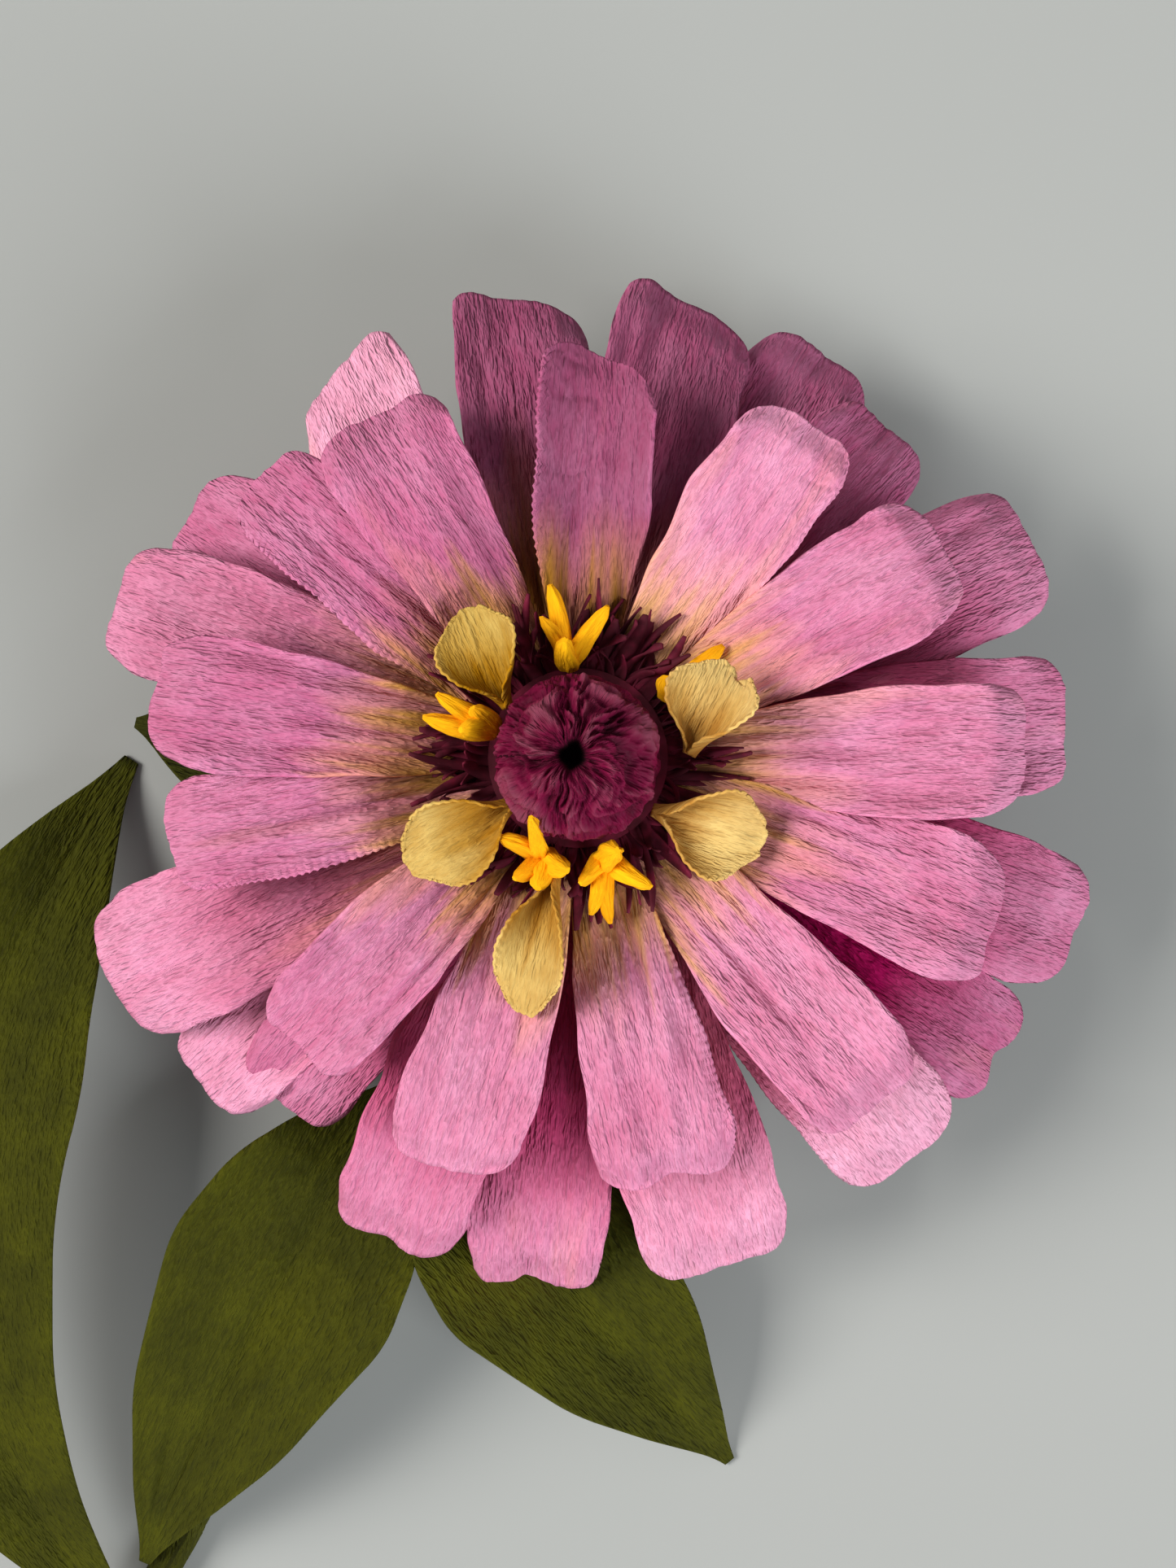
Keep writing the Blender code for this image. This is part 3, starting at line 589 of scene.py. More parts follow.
def paper_sheet(name, place, columns, rows, flat, painted_shading=0.0, thickness=None, under=0.0):
    """A paper sheet over place(u, v), u from -1 to 1 across and v from 0 to 1 along.

    flat(u, v) is the same point on the uncut sheet, in millimetres.
    """
    made = bmesh.new()
    uv, reach, shade, rim = sheet_layers(made)
    below = made.verts.layers.float.new("under")
    grid, spots = [], {}
    for j in range(rows + 1):
        v = j / rows
        line = []
        for i in range(columns + 1):
            u = 2 * i / columns - 1
            vert = made.verts.new((AXIS + Vector(place(u, v))) * MM)
            vert[reach] = v
            vert[shade] = painted_shading
            vert[rim] = max(ease(abs(u), 0.92, 1.0), 0.4 * ease(v, 0.97, 1.0))
            # Painted shade under the row above, fading out past the row's tips
            vert[below] = under * (1 - ease(v, 0.58, 0.94))
            across, ahead = flat(u, v)
            spots[vert] = (across / 100 + 0.5, ahead / 100)
            line.append(vert)
        grid.append(line)
    for lower, upper in zip(grid, grid[1:]):
        for i in range(columns):
            face = made.faces.new((lower[i + 1], lower[i], upper[i], upper[i + 1]))
            lay_flat(face, uv, spots)
    part = new_part(made, name)
    thicken(part, thickness or millimetres("paper"), 0.0)
    return part


def skin_rings(made, rings, uv, spots):
    """Skins a run of rings of vertices and closes both its ends."""
    sides = len(rings[0])
    for low, high in zip(rings, rings[1:]):
        for i in range(sides):
            after = (i + 1) % sides
            lay_flat(made.faces.new((low[i], low[after], high[after], high[i])), uv, spots)
    made.faces.new(list(reversed(rings[0])))
    made.faces.new(rings[-1])


def finish_piece(part, material, slot, *nodes):
    """Gives a piece its material and puts it in the place of its solids."""
    part.data.materials.append(material)
    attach(part, "root")
    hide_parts(*nodes)


def petal_place(
    row, at, longer, width, cup=0.5, tilt=0.0, curl=0.0, sway=0.0, skew=0.0, notch=0.0, fold=0.0,
    lift=0.0, crimp=(0, 0), painted_shading=0.0,
):
    """Where a petal's paper lies, the same point on the flat sheet, and its painted light and shade."""
    length = row.share * millimetres("bloom_radius") + longer - PETAL_FOOT
    depth = millimetres("crease")
    seed = at * 0.37 + row.share

    def half_width(v):
        half = min(rounded(row.claw, PETAL_FOOT + length * v, 3.0), width / 2)
        return half * (1 - 0.1 * max(0.0, (v - 0.86) / 0.14) ** 2)

    def flat(u, v):
        return u * half_width(v) + at * 1.7, length * v

    def place(u, v):
        half = half_width(v)
        ahead = length * v
        out = PETAL_FOOT + ahead
        # The cut of the tip: slanted, notched, its corners rounded, and never quite even
        end = ease(v, 0.72, 1.0)
        out += end * (skew * u - notch * math.exp(-((u / 0.3) ** 2)) - 1.8 * abs(u) ** 6)
        out += end * (0.6 * ripple(u * 1.3, 0, seed) + 0.16 * ripple(u * 7, 3, seed))
        side = u * half + sway * v * v
        # The rise of the row, with the petal's own cup, tilt and curl
        opened = ease(v, 0.1, 0.6)
        height = row.base + lift * ease(v, 0.0, 0.2) + smooth(row.rise, v)
        height += cup * (u * u - 0.3) * opened + tilt * u * opened - (0.9 * curl + 1.0) * ease(v, 0.9, 1.0)
        height += 0.7 * u * (1 - ease(v, 0.3, 0.6))
        if fold:
            over = ease(u, 0.45, 1.0) * ease(v, 0.45, 0.8)
            side -= over * half * 0.08
            height += over * fold
        # Long creases of the hand, broader waves, pleats at the foot and sharp cockles
        height += depth * ripple(side / 1.1, ahead / 6, seed) * ease(v, 0.05, 0.35)
        height += 0.45 * ripple(side / 2.2, ahead / 9, seed + 1) * opened
        height += 1.3 * ripple(side / 6, ahead / 12, seed + 3) * opened
        height += 0.8 * ripple(u * 4, ahead / 22, seed + 6) * ease(v, 0.08, 0.3) * (1 - ease(v, 0.5, 0.9))
        cockle = max(0.0, 1 - abs(ripple(side / 4.5, ahead / 5.5, seed + 20)) / 0.12)
        height -= 0.22 * cockle * ease(ripple(side / 9, ahead / 9, seed + 30), -0.1, 0.3) * opened
        # Edges: the even waves of a crimped one, and how every edge wanders
        near_edge = ease(abs(u), 0.7, 1.0) * ease(v, 0.2, 0.4)
        bite = crimp[1] if u > 0 else crimp[0]
        wave = math.sin(2 * math.pi * ahead / 0.82 + 2 * ripple(ahead / 3, u, seed))
        side += near_edge * bite * 0.1 * wave + near_edge * 0.5 * ripple(ahead / 6, u, seed + 5)
        height += near_edge * bite * 0.13 * wave
        height += near_edge * 0.9 * ripple(ahead / 5, u, seed + 9)
        turn = math.radians(at)
        return (
            out * math.cos(turn) - side * math.sin(turn),
            out * math.sin(turn) + side * math.cos(turn),
            height,
        )

    return place, flat, painted_shading


def spathe_place(foot, tip, width, roll, height, turned=0.0, notch=0.0, curl=0.6, painted_shading=0.0):
    """A small petal rolled at its foot so its edges meet, opening to a cup towards its tip."""
    start, end = Vector(foot), Vector(tip)
    ahead = (end - start).normalized()
    left = Vector((-ahead.y, ahead.x))
    length = (end - start).length
    outline = ((0, 0.26), (0.15, 0.5), (0.4, 0.92), (0.62, 1.0), (0.82, 0.86), (1, 0.46))
    seed = foot[0] * 1.3 + foot[1]

    def flat(u, v):
        return u * width * 0.6 * straight(outline, v) + seed * 3, length * v

    def place(u, v):
        sheet = width * rounded(outline, v, 0.05)
        open_by = math.radians(roll * (1 - 0.62 * ease(v, 0.05, 1.0)) + 70 * (1 - ease(v, 0.0, 0.35)))
        radius = sheet / (2 * open_by) * 1.2
        swing = open_by * u + math.radians(turned)
        across = radius * (math.sin(swing) - math.sin(math.radians(turned)))
        over = radius * (1 - math.cos(swing))
        crinkle = 0.13 * ripple(u * 7, v * 2.2, seed) + 0.3 * ripple(u * 1.6, v * 2.4, seed + 2)
        edge = ease(abs(u), 0.75, 1.0) + ease(v, 0.9, 1.0)
        tooth = 0.16 * math.sin(2 * math.pi * (v * length + abs(u) * 2) / 0.95) * min(1.0, edge)
        out = length * v * (1 - 0.1 * u * u * v)
        out -= notch * ease(v, 0.8, 1.0) * math.exp(-(((u + 0.3) / 0.3) ** 2))
        out += 0.35 * ripple(u * 2.4, 1, seed) * ease(v, 0.7, 1.0)
        level = CREAM_REST + height * math.sin(min(1.0, v / 0.8) * math.pi / 2) - curl * ease(v, 0.7, 1.0)
        point = start + ahead * (out + tooth * 0.6 * ease(v, 0.9, 1.0)) + left * (across + tooth * 0.5)
        return point.x, point.y, level + over + crinkle + tooth * 0.5

    return place, flat, painted_shading


def stem_point(distance, side=0.0):
    """A place on the stem's axis, or beside it towards the right of its run."""
    across = side + STEM_BOW * math.sin(math.pi * distance / millimetres("stem_length"))
    x, y = polar(STEM_TURN, distance)
    off_x, off_y = polar(STEM_TURN + 90, across)
    return Vector((x + off_x, y + off_y, along(NECK, distance)))


def leaf_place(node, side, bend, tip, rise, half, widest, painted_shading=0.0):
    """A pointed leaf with a folded midrib that arches along a bent route."""
    a = stem_point(node * millimetres("stem_length"), side).to_2d()
    b = a + Vector(bend)
    c = a + Vector(tip)
    length = (b - a).length + (c - b).length
    rest = 1 - widest
    outline = (
        (0, 0.1), (widest * 0.3, 0.58), (widest * 0.6, 0.88), (widest, 1.0),
        (widest + rest * 0.5, 0.68), (widest + rest * 0.78, 0.33), (1, 0.02),
    )
    seed = half + node * 3 + side

    def flat(u, v):
        return u * half * rounded(outline, v) + seed * 9, length * v

    def place(u, v):
        point = a * (1 - v) ** 2 + b * 2 * v * (1 - v) + c * v * v
        ahead = (b - a) * (1 - v) + (c - b) * v
        left = Vector((-ahead.y, ahead.x)).normalized()
        wide = half * rounded(outline, v, 0.04)
        low, top, end = rise
        level = low * (1 - v) ** 2 + (2 * top - 0.5 * (low + end)) * 2 * v * (1 - v) + end * v * v
        free = ease(v, 0.0, 0.2) * (1 - ease(v, 0.85, 1.0))
        level += 0.36 * wide * abs(u) * free
        level += 0.3 * ripple(u * half / 1.6, v * length / 16, seed) * free
        level += 0.6 * ripple(u * 1.5, v * 5, seed) * free
        return point.x + left.x * wide * u, point.y + left.y * wide * u, max(0.25, level)

    return place, flat, painted_shading


def finger_mesh(made, root, run, thick, seed, layers):
    """One rolled paper finger: a tapering roll with a seam, closed at both ends."""
    uv, reach, _, _ = layers
    start = root - Vector(run).normalized() * 0.4
    goal = root + Vector(run)
    ahead = goal - start
    left = Vector((-ahead.y, ahead.x, 0)).normalized()
    over = ahead.cross(left).normalized()
    sides, rows = 26, 22
    rings, spots = [], {}
    for j in range(rows + 1):
        v = j / rows
        middle = start + ahead * v + Vector((0, 0, 0.5 * math.sin(math.pi * v)))
        middle += left * 0.4 * math.sin(2.6 * v + seed) * v
        radius = thick * rounded(((0, 0.8), (0.25, 1.0), (0.6, 0.85), (0.88, 0.62), (1, 0.2)), v, 0.04)
        ring = []
        for i in range(sides):
            turn = 2 * math.pi * i / sides
            seam = 0.34 * math.exp(-(((turn - 1.6 - 0.8 * v - 0.4 * math.sin(seed)) / 0.22) ** 2))
            x, y = math.cos(turn), math.sin(turn)
            swell = radius * (1 - seam + 0.5 * ripple(x * 1.5, y * 1.5 + v * 1.6, seed))
            point = AXIS + middle + left * swell * x - over * swell * 0.85 * y
            vert = made.verts.new(point * MM)
            vert[reach] = v
            spots[vert] = ((turn * thick + seed * 5) / 100, ahead.length * v / 100)
            ring.append(vert)
        rings.append(ring)
    skin_rings(made, rings, uv, spots)


# Operators, one for each piece or group of like pieces


class ZINNIA_OT_petals(bpy.types.Operator):
    """Cut, crease and curl the three rows of pink petals."""

    bl_idname = "zinnia.petals"
    bl_label = "Petals"

    def execute(self, context):
        tone = colours()
        paper = crepe_paper(
            "crepe_paper_pink",
            tone.petal,
            tone.petal_deep,
            stain=(tone.wash, tone.stain),
            painted_shade=tone.painted_shade,
            bump=1.0,
        )
        for row, specs in PETALS.items():
            for number, spec in enumerate(specs, 1):
                place, flat, painted_shading = petal_place(ROWS[row], **spec)
                # Painted shade under the row above, strongest on the side away from the window
                under = ROWS[row].covered * (0.55 + 0.5 * math.cos(math.radians(spec["at"] + 60)))
                steps = CRIMPED_ROWS if "crimp" in spec else PETAL_ROWS
                label = f"{row}_petal_{number:02d}"
                part = paper_sheet(f"paper_{label}", place, PETAL_COLUMNS, steps, flat, painted_shading, under=under)
                finish_piece(part, paper, "pink_crepe", label)
        return {"FINISHED"}


class ZINNIA_OT_creams(bpy.types.Operator):
    """Gather the small cream petals."""

    bl_idname = "zinnia.creams"
    bl_label = "Cream petals"

    def execute(self, context):
        tone = colours()
        paper = crepe_paper(
            "crepe_paper_cream",
            tone.cream,
            tone.cream_deep,
            # Painted shade: the stain here darkens the rolled foot and the inside of each cup
            stain=(tone.cream_foot_shade, tone.cream_deep),
            stain_end=0.9,
            bump=0.7,
        )
        for number, spec in enumerate(CREAMS, 1):
            place, flat, painted_shading = spathe_place(**spec)
            part = paper_sheet(f"paper_cream_petal_{number}", place, 60, 60, flat, painted_shading, CREAM_PAPER)
            finish_piece(part, paper, "cream_crepe", f"cream_petal_{number}")
        return {"FINISHED"}


class ZINNIA_OT_florets(bpy.types.Operator):
    """Roll the fingers of the yellow star florets."""

    bl_idname = "zinnia.florets"
    bl_label = "Florets"

    def execute(self, context):
        tone = colours()
        paper = crepe_paper("crepe_paper_yellow", tone.yellow, tone.yellow_deep, bump=0.5)
        for number, spec in enumerate(FLORETS, 1):
            made = bmesh.new()
            layers = sheet_layers(made)
            root = Vector((*spec["root"], FLORET_REST + 1.2))
            for order, (x, y, z, thick) in enumerate(spec["fingers"]):
                finger_mesh(made, root, (x, y, z), thick * 1.12, number * 3 + order * 1.7, layers)
            stub = Vector((0, 0, -2.2))
            finger_mesh(made, root + Vector((0, 0, 0.6)), stub, 1.3, number, layers)
            bmesh.ops.recalc_face_normals(made, faces=made.faces)
            part = new_part(made, f"paper_floret_{number}")
            finish_piece(part, paper, "yellow_crepe", f"floret_{number}")
        return {"FINISHED"}


class ZINNIA_OT_ball(bpy.types.Operator):
    """Gather the crepe over the centre ball and pinch its hole."""

    bl_idname = "zinnia.ball"
    bl_label = "Centre ball"

    def execute(self, context):
        tone, ball_radius = colours(), millimetres("ball_radius")
        middle = CORE_TOP + GAP + 0.71 * ball_radius
        made = bmesh.new()
        bmesh.ops.create_uvsphere(made, u_segments=300, v_segments=130, radius=1.0)
        uv, reach, shade, _ = sheet_layers(made)
        spots = {}
        for vert in made.verts:
            x, y, z = vert.co
            flat = math.hypot(x, y) * ball_radius
            turn = math.atan2(y, x) + 0.25 * ripple(x * 1.5, y * 1.5, 12)
            down = math.acos(max(-1.0, min(1.0, z)))
            # Pleats run down from the hole, wander a little and fade below the shoulder
            strength = ease(down, 0.02, 0.3) * (1 - 0.75 * ease(down, 0.9, 1.7))
            wander = 0.5 * ripple(x * 2.4, y * 2.4, 15)
            c, d = math.cos(turn + wander), math.sin(turn + wander)
            pleat = 1.3 * ripple(c * 2.3, d * 2.3, down * 0.3)
            pleat -= 1.5 * abs(ripple(c * 4.4 + 4, d * 4.4, 0.2 + down * 0.4))
            pleat -= 0.9 * abs(ripple(c * 8 + 2, d * 8, 0.5 + down * 0.6))
            pleat += 0.26 * ripple(c * 18, d * 18, down * 0.9)
            crumple = 0.3 * ripple(x * 4.2, y * 4.2, z) + 0.14 * ripple(x * 9, y * 9, z * 2)
            # The pinched hole, its lips and a second small dent beside it
            lips = 0.9 * math.exp(-(((flat - 2.6) / 1.0) ** 2)) * (0.6 + 1.6 * ripple(c * 1.4, d * 1.4, 6))
            up = max(0.0, z)
            hole = math.exp(-((flat / (1.15 + 0.4 * ripple(c, d, 8))) ** 4)) * up
            pinch = 4.4 * hole + 1.1 * math.exp(-((flat / 2.6) ** 2)) * up
            second = 1.0 * math.exp(-(((x * 8.4 + 3.6) ** 2 + (y * 8.4) ** 2) / 0.9)) * up
            radius = ball_radius + pleat * strength + crumple + 0.4
            top = max(CORE_TOP + GAP, middle + z * (radius - 0.05) + lips * up - pinch - second)
            vert.co = (AXIS + Vector((x * radius - 0.6 * up, y * radius + 0.2 * up, top))) * MM
            vert[reach] = down / math.pi
            # Painted shade: darker in the deep folds of the pleats and nearly black in the pinched hole,
            # over a random mottle
            dye = 0.4 * ripple(x * 2, y * 2, 3) + 0.9 * (pleat + 0.2) - 3 * hole
            vert[shade] = max(-1.7, min(0.5, dye))
            spots[vert] = (turn * 4.5 / 100, down * 8.4 / 100)
        for face in made.faces:
            lay_flat(face, uv, spots)
        part = new_part(made, "gathered_ball")
        paper = crepe_paper("crepe_paper_burgundy", tone.ball, tone.ball_deep, bump=1.0, rough=0.7)
        finish_piece(part, paper, "burgundy_crepe", "centre_ball")
        return {"FINISHED"}


def strip_mesh(name, material, bend, twist, half):
    """One cut strip from the origin along +X, bending up and twisting by radians."""
    made = bmesh.new()
    rows = 10
    grid = []
    for j in range(rows + 1):
        v = j / rows
        wide = half * straight(((0, 1.0), (0.75, 0.95), (1, 0.4)), v)
        spine = Vector((math.sin(bend * v) / bend, 0, (1 - math.cos(bend * v)) / bend)) * STRIP_LENGTH
        turned = Matrix.Rotation(-bend * v, 3, "Y") @ Matrix.Rotation(twist * v, 3, "X")
        side = turned @ Vector((0, 1, 0))
        grid.append([made.verts.new((spine + side * wide * u) * MM) for u in (-1, 0, 1)])
    for lower, upper in zip(grid, grid[1:]):
        for i in range(2):
            made.faces.new((lower[i], upper[i], upper[i + 1], lower[i + 1])).smooth = True
    part = new_part(made, name)
    part.data.materials.append(material)
    thicken(part, STRIP_PAPER, -1.0)
    return part


def fringe_tree(name, material):
    """Geometry Nodes: cut strips round a wound ring, each with its own length, turn and tilt."""
    tree = bpy.data.node_groups.new(name, "GeometryNodeTree")
    names = ("Strip", "Strips", "Radius", "Reach", "Tilt", "Seed")
    for label, kind in zip(names, ("Object", "Int", "Float", "Float", "Float", "Int")):
        tree.interface.new_socket(label, in_out="INPUT", socket_type=f"NodeSocket{kind}")
    tree.interface.new_socket("Geometry", in_out="OUTPUT", socket_type="NodeSocketGeometry")
    given = add_node(tree, "NodeGroupInput").outputs
    ring = add_node(
        tree, "GeometryNodeMeshCircle", inputs={"Vertices": given["Strips"], "Radius": given["Radius"]}
    )
    place = add_node(tree, "GeometryNodeInputPosition")
    split = add_node(tree, "ShaderNodeSeparateXYZ", inputs={0: place}).outputs
    heading = add_node(tree, "ShaderNodeMath", {"operation": "ARCTAN2"}, (split[1], split[0]))

    def chance(low, high, offset):
        """A number between low and high, another for each strip."""
        seed = add_node(tree, "ShaderNodeMath", {"operation": "ADD"}, (given["Seed"], offset))
        return add_node(
            tree, "FunctionNodeRandomValue", {"data_type": "FLOAT"}, {2: low, 3: high, "Seed": seed}
        ).outputs[1]

    yaw = add_node(tree, "ShaderNodeMath", {"operation": "ADD"}, (heading, chance(-0.45, 0.45, 1)))
    pitch = add_node(tree, "ShaderNodeMath", {"operation": "ADD"}, (given["Tilt"], chance(-0.3, 0.15, 2)))
    turn = add_node(
        tree, "ShaderNodeCombineXYZ", inputs={"X": chance(-1.1, 1.1, 3), "Y": pitch, "Z": yaw}
    )
    share = chance(0.72, 1.04, 4)
    span = add_node(tree, "ShaderNodeMath", {"operation": "SUBTRACT"}, (given["Reach"], given["Radius"]))
    stretch = add_node(tree, "ShaderNodeMath", {"operation": "MULTIPLY"}, (span, share))
    unit = add_node(tree, "ShaderNodeMath", {"operation": "DIVIDE"}, (stretch, STRIP_LENGTH * MM))
    scale = add_node(
        tree, "ShaderNodeCombineXYZ", inputs={"X": unit, "Y": chance(0.55, 1.35, 5), "Z": unit}
    )
    strip = add_node(
        tree, "GeometryNodeObjectInfo", {"transform_space": "ORIGINAL"}, {"Object": given["Strip"]}
    ).outputs["Geometry"]
    strips = add_node(
        tree,
        "GeometryNodeInstanceOnPoints",
        inputs={"Points": ring, "Instance": strip, "Rotation": turn, "Scale": scale},
    )
    real = add_node(tree, "GeometryNodeRealizeInstances", inputs={0: strips})
    painted = add_node(tree, "GeometryNodeSetMaterial", inputs={"Geometry": real, "Material": material})
    add_node(tree, "NodeGroupOutput", inputs={0: painted})
    return tree


def set_inputs(modifier, values):
    """Sets a Geometry Nodes modifier's inputs by the names in its tree."""
    for item in modifier.node_group.interface.items_tree:
        if item.item_type == "SOCKET" and item.in_out == "INPUT" and item.name in values:
            modifier[item.identifier] = values[item.name]


def plain_mesh(part, name):
    """The part's evaluated mesh as a new object, in place of the part."""
    graph = bpy.context.evaluated_depsgraph_get()
    mesh = bpy.data.meshes.new_from_object(part.evaluated_get(graph))
    mesh.name = name
    made = bpy.data.objects.new(name, mesh)
    bpy.context.scene.collection.objects.link(made)
    bpy.data.objects.remove(part)
    return made


class ZINNIA_OT_fringe(bpy.types.Operator):
    """Wind the cut fringe round the foot of the ball."""

    bl_idname = "zinnia.fringe"
    bl_label = "Fringe"

    def execute(self, context):
        paper = fringe_paper()
        strips = context.scene.zinnia_sizes.fringe_strips
        tree = fringe_tree("Cut strips", paper)
        layers = []
        base, reach = CORE_RADIUS + 0.8, millimetres("fringe_reach")
        for label, far, level, tilt, count, seed, bend, twist, half in (
            ("low", reach + 0.2, 0.2, -0.12, strips, 3, 0.4, 0.9, 0.65),
            ("long", reach + 1.6, 0.5, -0.1, strips // 2, 21, 0.5, -1.6, 0.4),
            ("curled", reach - 1.0, 0.4, 0.08, strips, 8, 1.2, 1.9, 0.8),
            ("high", reach - 4.0, 0.7, -0.1, strips, 14, 1.2, -1.2, 0.65),
        ):
            strip = strip_mesh(f"cut_strip_{label}", paper, bend, twist, half)
            ring = bpy.data.objects.new(f"fringe_{label}", bpy.data.meshes.new(f"fringe_{label}"))
            context.scene.collection.objects.link(ring)
            nodes = ring.modifiers.new("Cut strips", "NODES")
            nodes.node_group = tree
            values = {"Strip": strip, "Strips": count, "Radius": base * MM, "Reach": far * MM}
            set_inputs(nodes, {**values, "Tilt": tilt, "Seed": seed})
            layer = plain_mesh(ring, f"fringe_{label}_strips")
            layer.data.transform(Matrix.Translation((AXIS + Vector((0, 0, FRINGE_BASE + level))) * MM))
            layers.append(layer)
            bpy.data.objects.remove(strip)
        joined = bmesh.new()
        for layer in layers:
            joined.from_mesh(layer.data)
        band = bmesh.ops.create_cone(
            joined,
            cap_ends=True,
            segments=64,
            radius1=(CORE_RADIUS + 0.6) * MM,
            radius2=(CORE_RADIUS + 1.4) * MM,
            depth=1.2 * MM,
        )
        middle = (AXIS + Vector((0, 0, FRINGE_BASE + 0.7))) * MM
        bmesh.ops.translate(joined, verts=band["verts"], vec=middle)
        for layer in layers:
            bpy.data.objects.remove(layer)
        part = new_part(joined, "cut_fringe")
        finish_piece(part, paper, "fringe_crepe", "centre_fringe")
        return {"FINISHED"}


class ZINNIA_OT_leaves(bpy.types.Operator):
    """Fold the leaves along their midribs."""

    bl_idname = "zinnia.leaves"
    bl_label = "Leaves"

    def execute(self, context):
        tone = colours()
        paper = crepe_paper("crepe_paper_green", tone.green, tone.green_deep, bump=1.0, mottle=0.45)
        for number, spec in enumerate(LEAVES, 1):
            place, flat, painted_shading = leaf_place(**spec)
            part = paper_sheet(f"paper_leaf_{number}", place, 40, 80, flat, painted_shading)
            finish_piece(part, paper, "green_crepe", f"leaf_{number}")
        return {"FINISHED"}


class ZINNIA_OT_stem(bpy.types.Operator):
    """Wrap the wire in a wound strip of crepe, and finish the wire, the core and the calyx."""

    bl_idname = "zinnia.stem"
    bl_label = "Stem"

    def execute(self, context):
        paper = bpy.data.materials.get("crepe_paper_green")
        if paper is None:
            raise RuntimeError("Make the leaves first: the stem is wrapped in their paper")
        length, wrap_radius = millimetres("stem_length"), millimetres("wrap_radius")
        made = bmesh.new()
        uv, reach, shade, _ = sheet_layers(made)
        sides, step, pitch = 24, 0.5, 9.0
        count = round(length / step)
        rings, spots = [], {}
        for j in range(count + 1):
            distance = length * j / count
            point = stem_point(distance)
            ahead = stem_point(distance + 0.4) - stem_point(distance - 0.4) if j else Vector((0, 0, -1))
            ahead.normalize()
            side = ahead.cross(Vector((*polar(STEM_TURN + 90, 1.0), 0))).normalized()
            other = ahead.cross(side)
            ring = []
            for k in range(sides):
                turn = 2 * math.pi * k / sides
                wound = (distance / pitch + k / sides) % 1.0
                radius = wrap_radius - 0.14 * wound + 0.05 * ripple(distance / 2, turn, 2)
                rim = side * radius * math.cos(turn) + other * radius * math.sin(turn)
                vert = made.verts.new((AXIS + point + rim) * MM)
                vert[reach] = 0.6
                # Painted light and shade: each turn lighter at its raised edge and darker where it tucks
                # under the next
                vert[shade] = 0.5 * (0.5 - wound)
                spots[vert] = ((turn * 1.8 + distance * 0.4) / 100, (distance - turn * 2) / 100)
                ring.append(vert)
            rings.append(ring)
        skin_rings(made, rings, uv, spots)
        bmesh.ops.recalc_face_normals(made, faces=made.faces)
        part = new_part(made, "wound_wrap")
        finish_piece(part, paper, "green_crepe", "stem_wrap")
        for node, material in (
            ("stem_wire", florist_wire()),
            ("head_core", wound_core_paper()),
            ("calyx", paper),
        ):
            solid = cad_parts[node]
            solid.data.materials.clear()
            solid.data.materials.append(material)
        return {"FINISHED"}


def area_light(name, place, aim, size, power, colour):
    """A soft square lamp at place, pointing at aim, all in millimetres."""
    lamp = bpy.data.lights.new(name, "AREA")
    lamp.shape = "SQUARE"
    lamp.size = size * MM
    lamp.energy = power
    lamp.color = hex_linear(colour)
    holder = bpy.data.objects.new(name, lamp)
    holder.location = (AXIS + Vector(place)) * MM
    holder.rotation_euler = (Vector(aim) - Vector(place)).to_track_quat("-Z", "Y").to_euler()
    bpy.context.scene.collection.objects.link(holder)


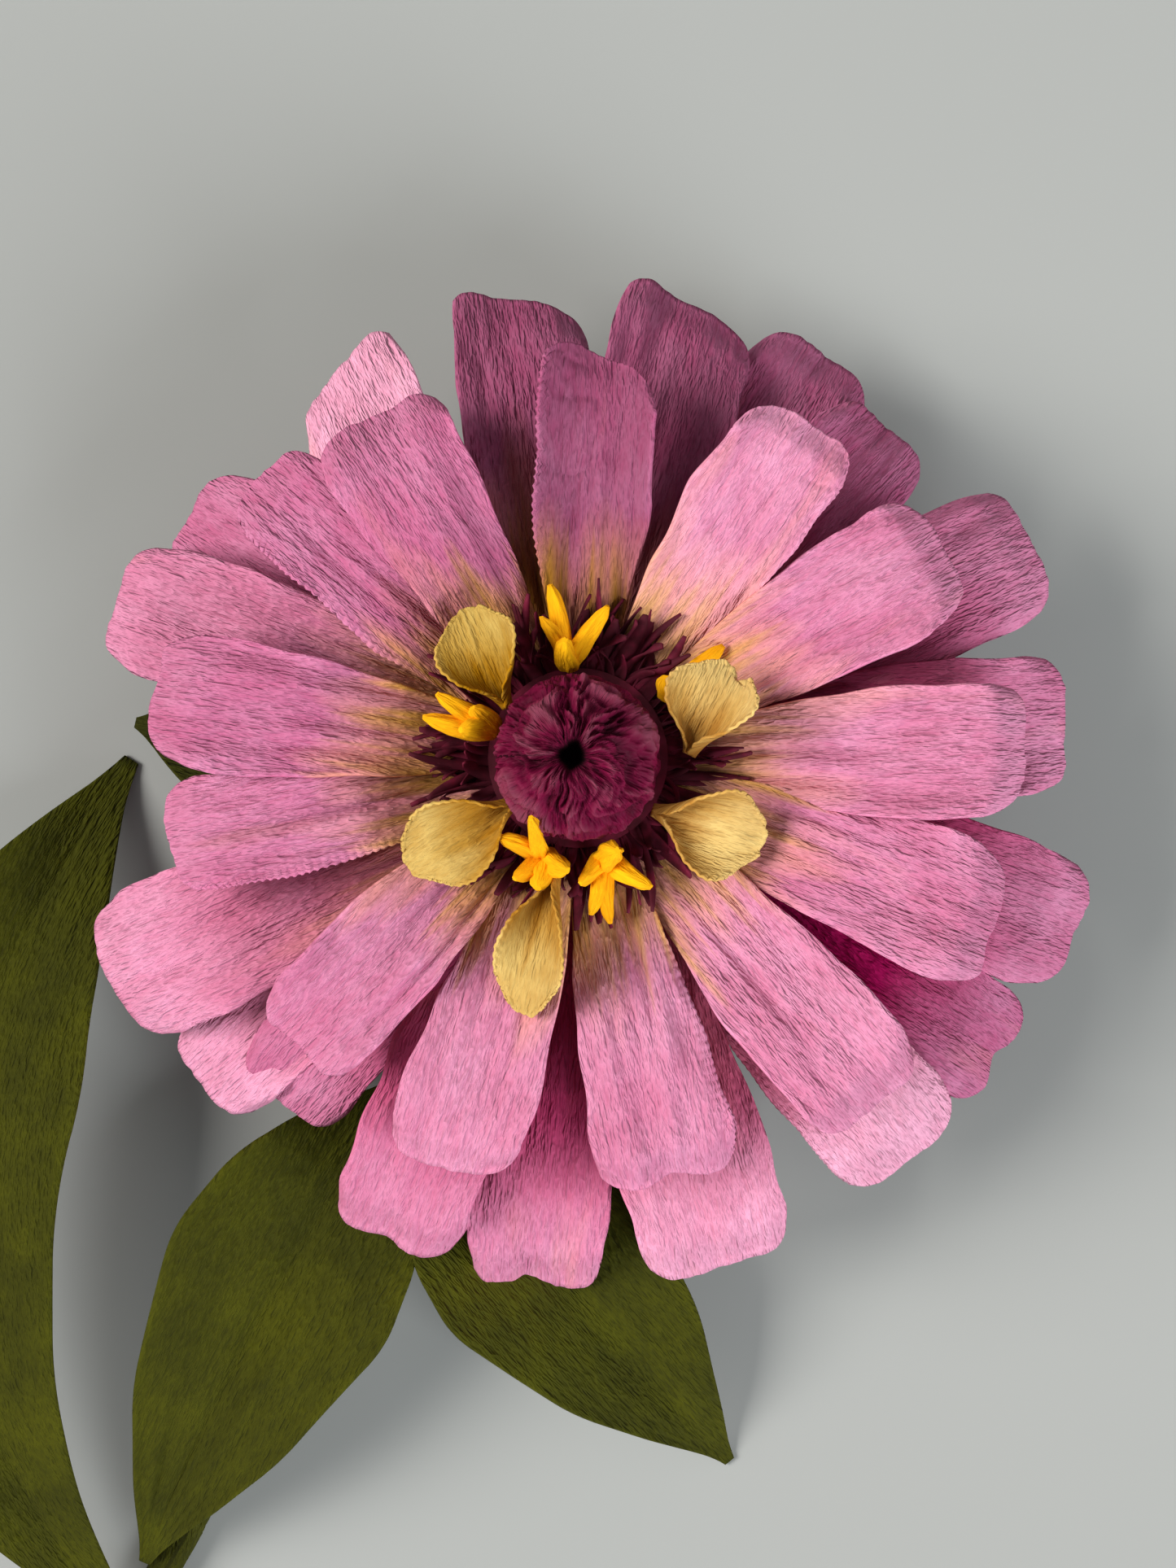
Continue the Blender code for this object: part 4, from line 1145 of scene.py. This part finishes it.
class ZINNIA_OT_stage(bpy.types.Operator):
    """Lay the pale table, set the soft window light and the camera that looks straight down."""

    bl_idname = "zinnia.stage"
    bl_label = "Stage"

    def execute(self, context):
        scene = context.scene
        made = bmesh.new()
        bmesh.ops.create_grid(made, x_segments=1, y_segments=1, size=TABLE_HALF)
        floor = new_part(made, "table")
        floor.data.materials.append(painted_table())

        # A dim room, and a pale wall behind whatever the camera or a reflection sees past the table
        world = bpy.data.worlds.new("soft_room")
        world.use_nodes = True
        tree = world.node_tree
        room = tree.nodes["Background"]
        room.inputs["Color"].default_value = (*hex_linear(ROOM_COLOUR), 1)
        room.inputs["Strength"].default_value = ROOM_STRENGTH
        pale = (*hex_linear(WALL_COLOUR), 1)
        wall = add_node(tree, "ShaderNodeBackground", inputs={"Color": pale, "Strength": WALL_STRENGTH})
        path = add_node(tree, "ShaderNodeLightPath").outputs
        mirrored = add_node(
            tree,
            "ShaderNodeMath",
            {"operation": "MAXIMUM"},
            (path["Is Glossy Ray"], path["Is Transmission Ray"]),
        )
        seen = add_node(
            tree, "ShaderNodeMath", {"operation": "MAXIMUM"}, (path["Is Camera Ray"], mirrored)
        )
        shown = add_node(tree, "ShaderNodeMixShader", inputs=(seen, room, wall))
        tree.links.new(shown.outputs[0], tree.nodes["World Output"].inputs["Surface"])
        scene.world = world
        for lamp in LAMPS:
            area_light(*lamp)

        camera = bpy.data.cameras.new("camera")
        camera.sensor_width = 36.0
        camera.lens = 36.0 * FOCAL_PIXELS / IMAGE_HEIGHT
        camera.clip_start = 0.01
        holder = bpy.data.objects.new("camera", camera)
        holder.location = (AXIS + Vector((*CAMERA_OFF_AXIS, CAMERA_HEIGHT))) * MM
        scene.collection.objects.link(holder)
        scene.camera = holder
        scene.view_settings.view_transform = "Standard"
        return {"FINISHED"}


class ZINNIA_PT_panel(bpy.types.Panel):
    """Sizes, colours and steps of the flower."""

    bl_label = "Crepe paper zinnia"
    bl_idname = "ZINNIA_PT_panel"
    bl_space_type = "VIEW_3D"
    bl_region_type = "UI"
    bl_category = "Zinnia"

    def draw(self, context):
        layout = self.layout
        for group in (context.scene.zinnia_sizes, context.scene.zinnia_colours):
            for name in group.bl_rna.properties.keys():
                if name not in ("rna_type", "name"):
                    layout.prop(group, name)
        for step in STEPS:
            layout.operator(step.bl_idname)


STEPS = (
    ZINNIA_OT_petals,
    ZINNIA_OT_creams,
    ZINNIA_OT_florets,
    ZINNIA_OT_ball,
    ZINNIA_OT_fringe,
    ZINNIA_OT_leaves,
    ZINNIA_OT_stem,
    ZINNIA_OT_stage,
)
CLASSES = (ZinniaSizes, ZinniaColours, *STEPS, ZINNIA_PT_panel)


def register():
    """Registers the classes and hangs the sizes and colours on the scene."""
    for kind in CLASSES:
        bpy.utils.register_class(kind)
    bpy.types.Scene.zinnia_sizes = PointerProperty(type=ZinniaSizes)
    bpy.types.Scene.zinnia_colours = PointerProperty(type=ZinniaColours)


def unregister():
    """Undoes register()."""
    del bpy.types.Scene.zinnia_colours
    del bpy.types.Scene.zinnia_sizes
    for kind in reversed(CLASSES):
        bpy.utils.unregister_class(kind)


def main():
    register()
    bpy.ops.zinnia.petals()
    bpy.ops.zinnia.creams()
    bpy.ops.zinnia.florets()
    bpy.ops.zinnia.ball()
    bpy.ops.zinnia.fringe()
    bpy.ops.zinnia.leaves()
    bpy.ops.zinnia.stem()
    bpy.ops.zinnia.stage()


if __name__ == "__main__":
    main()
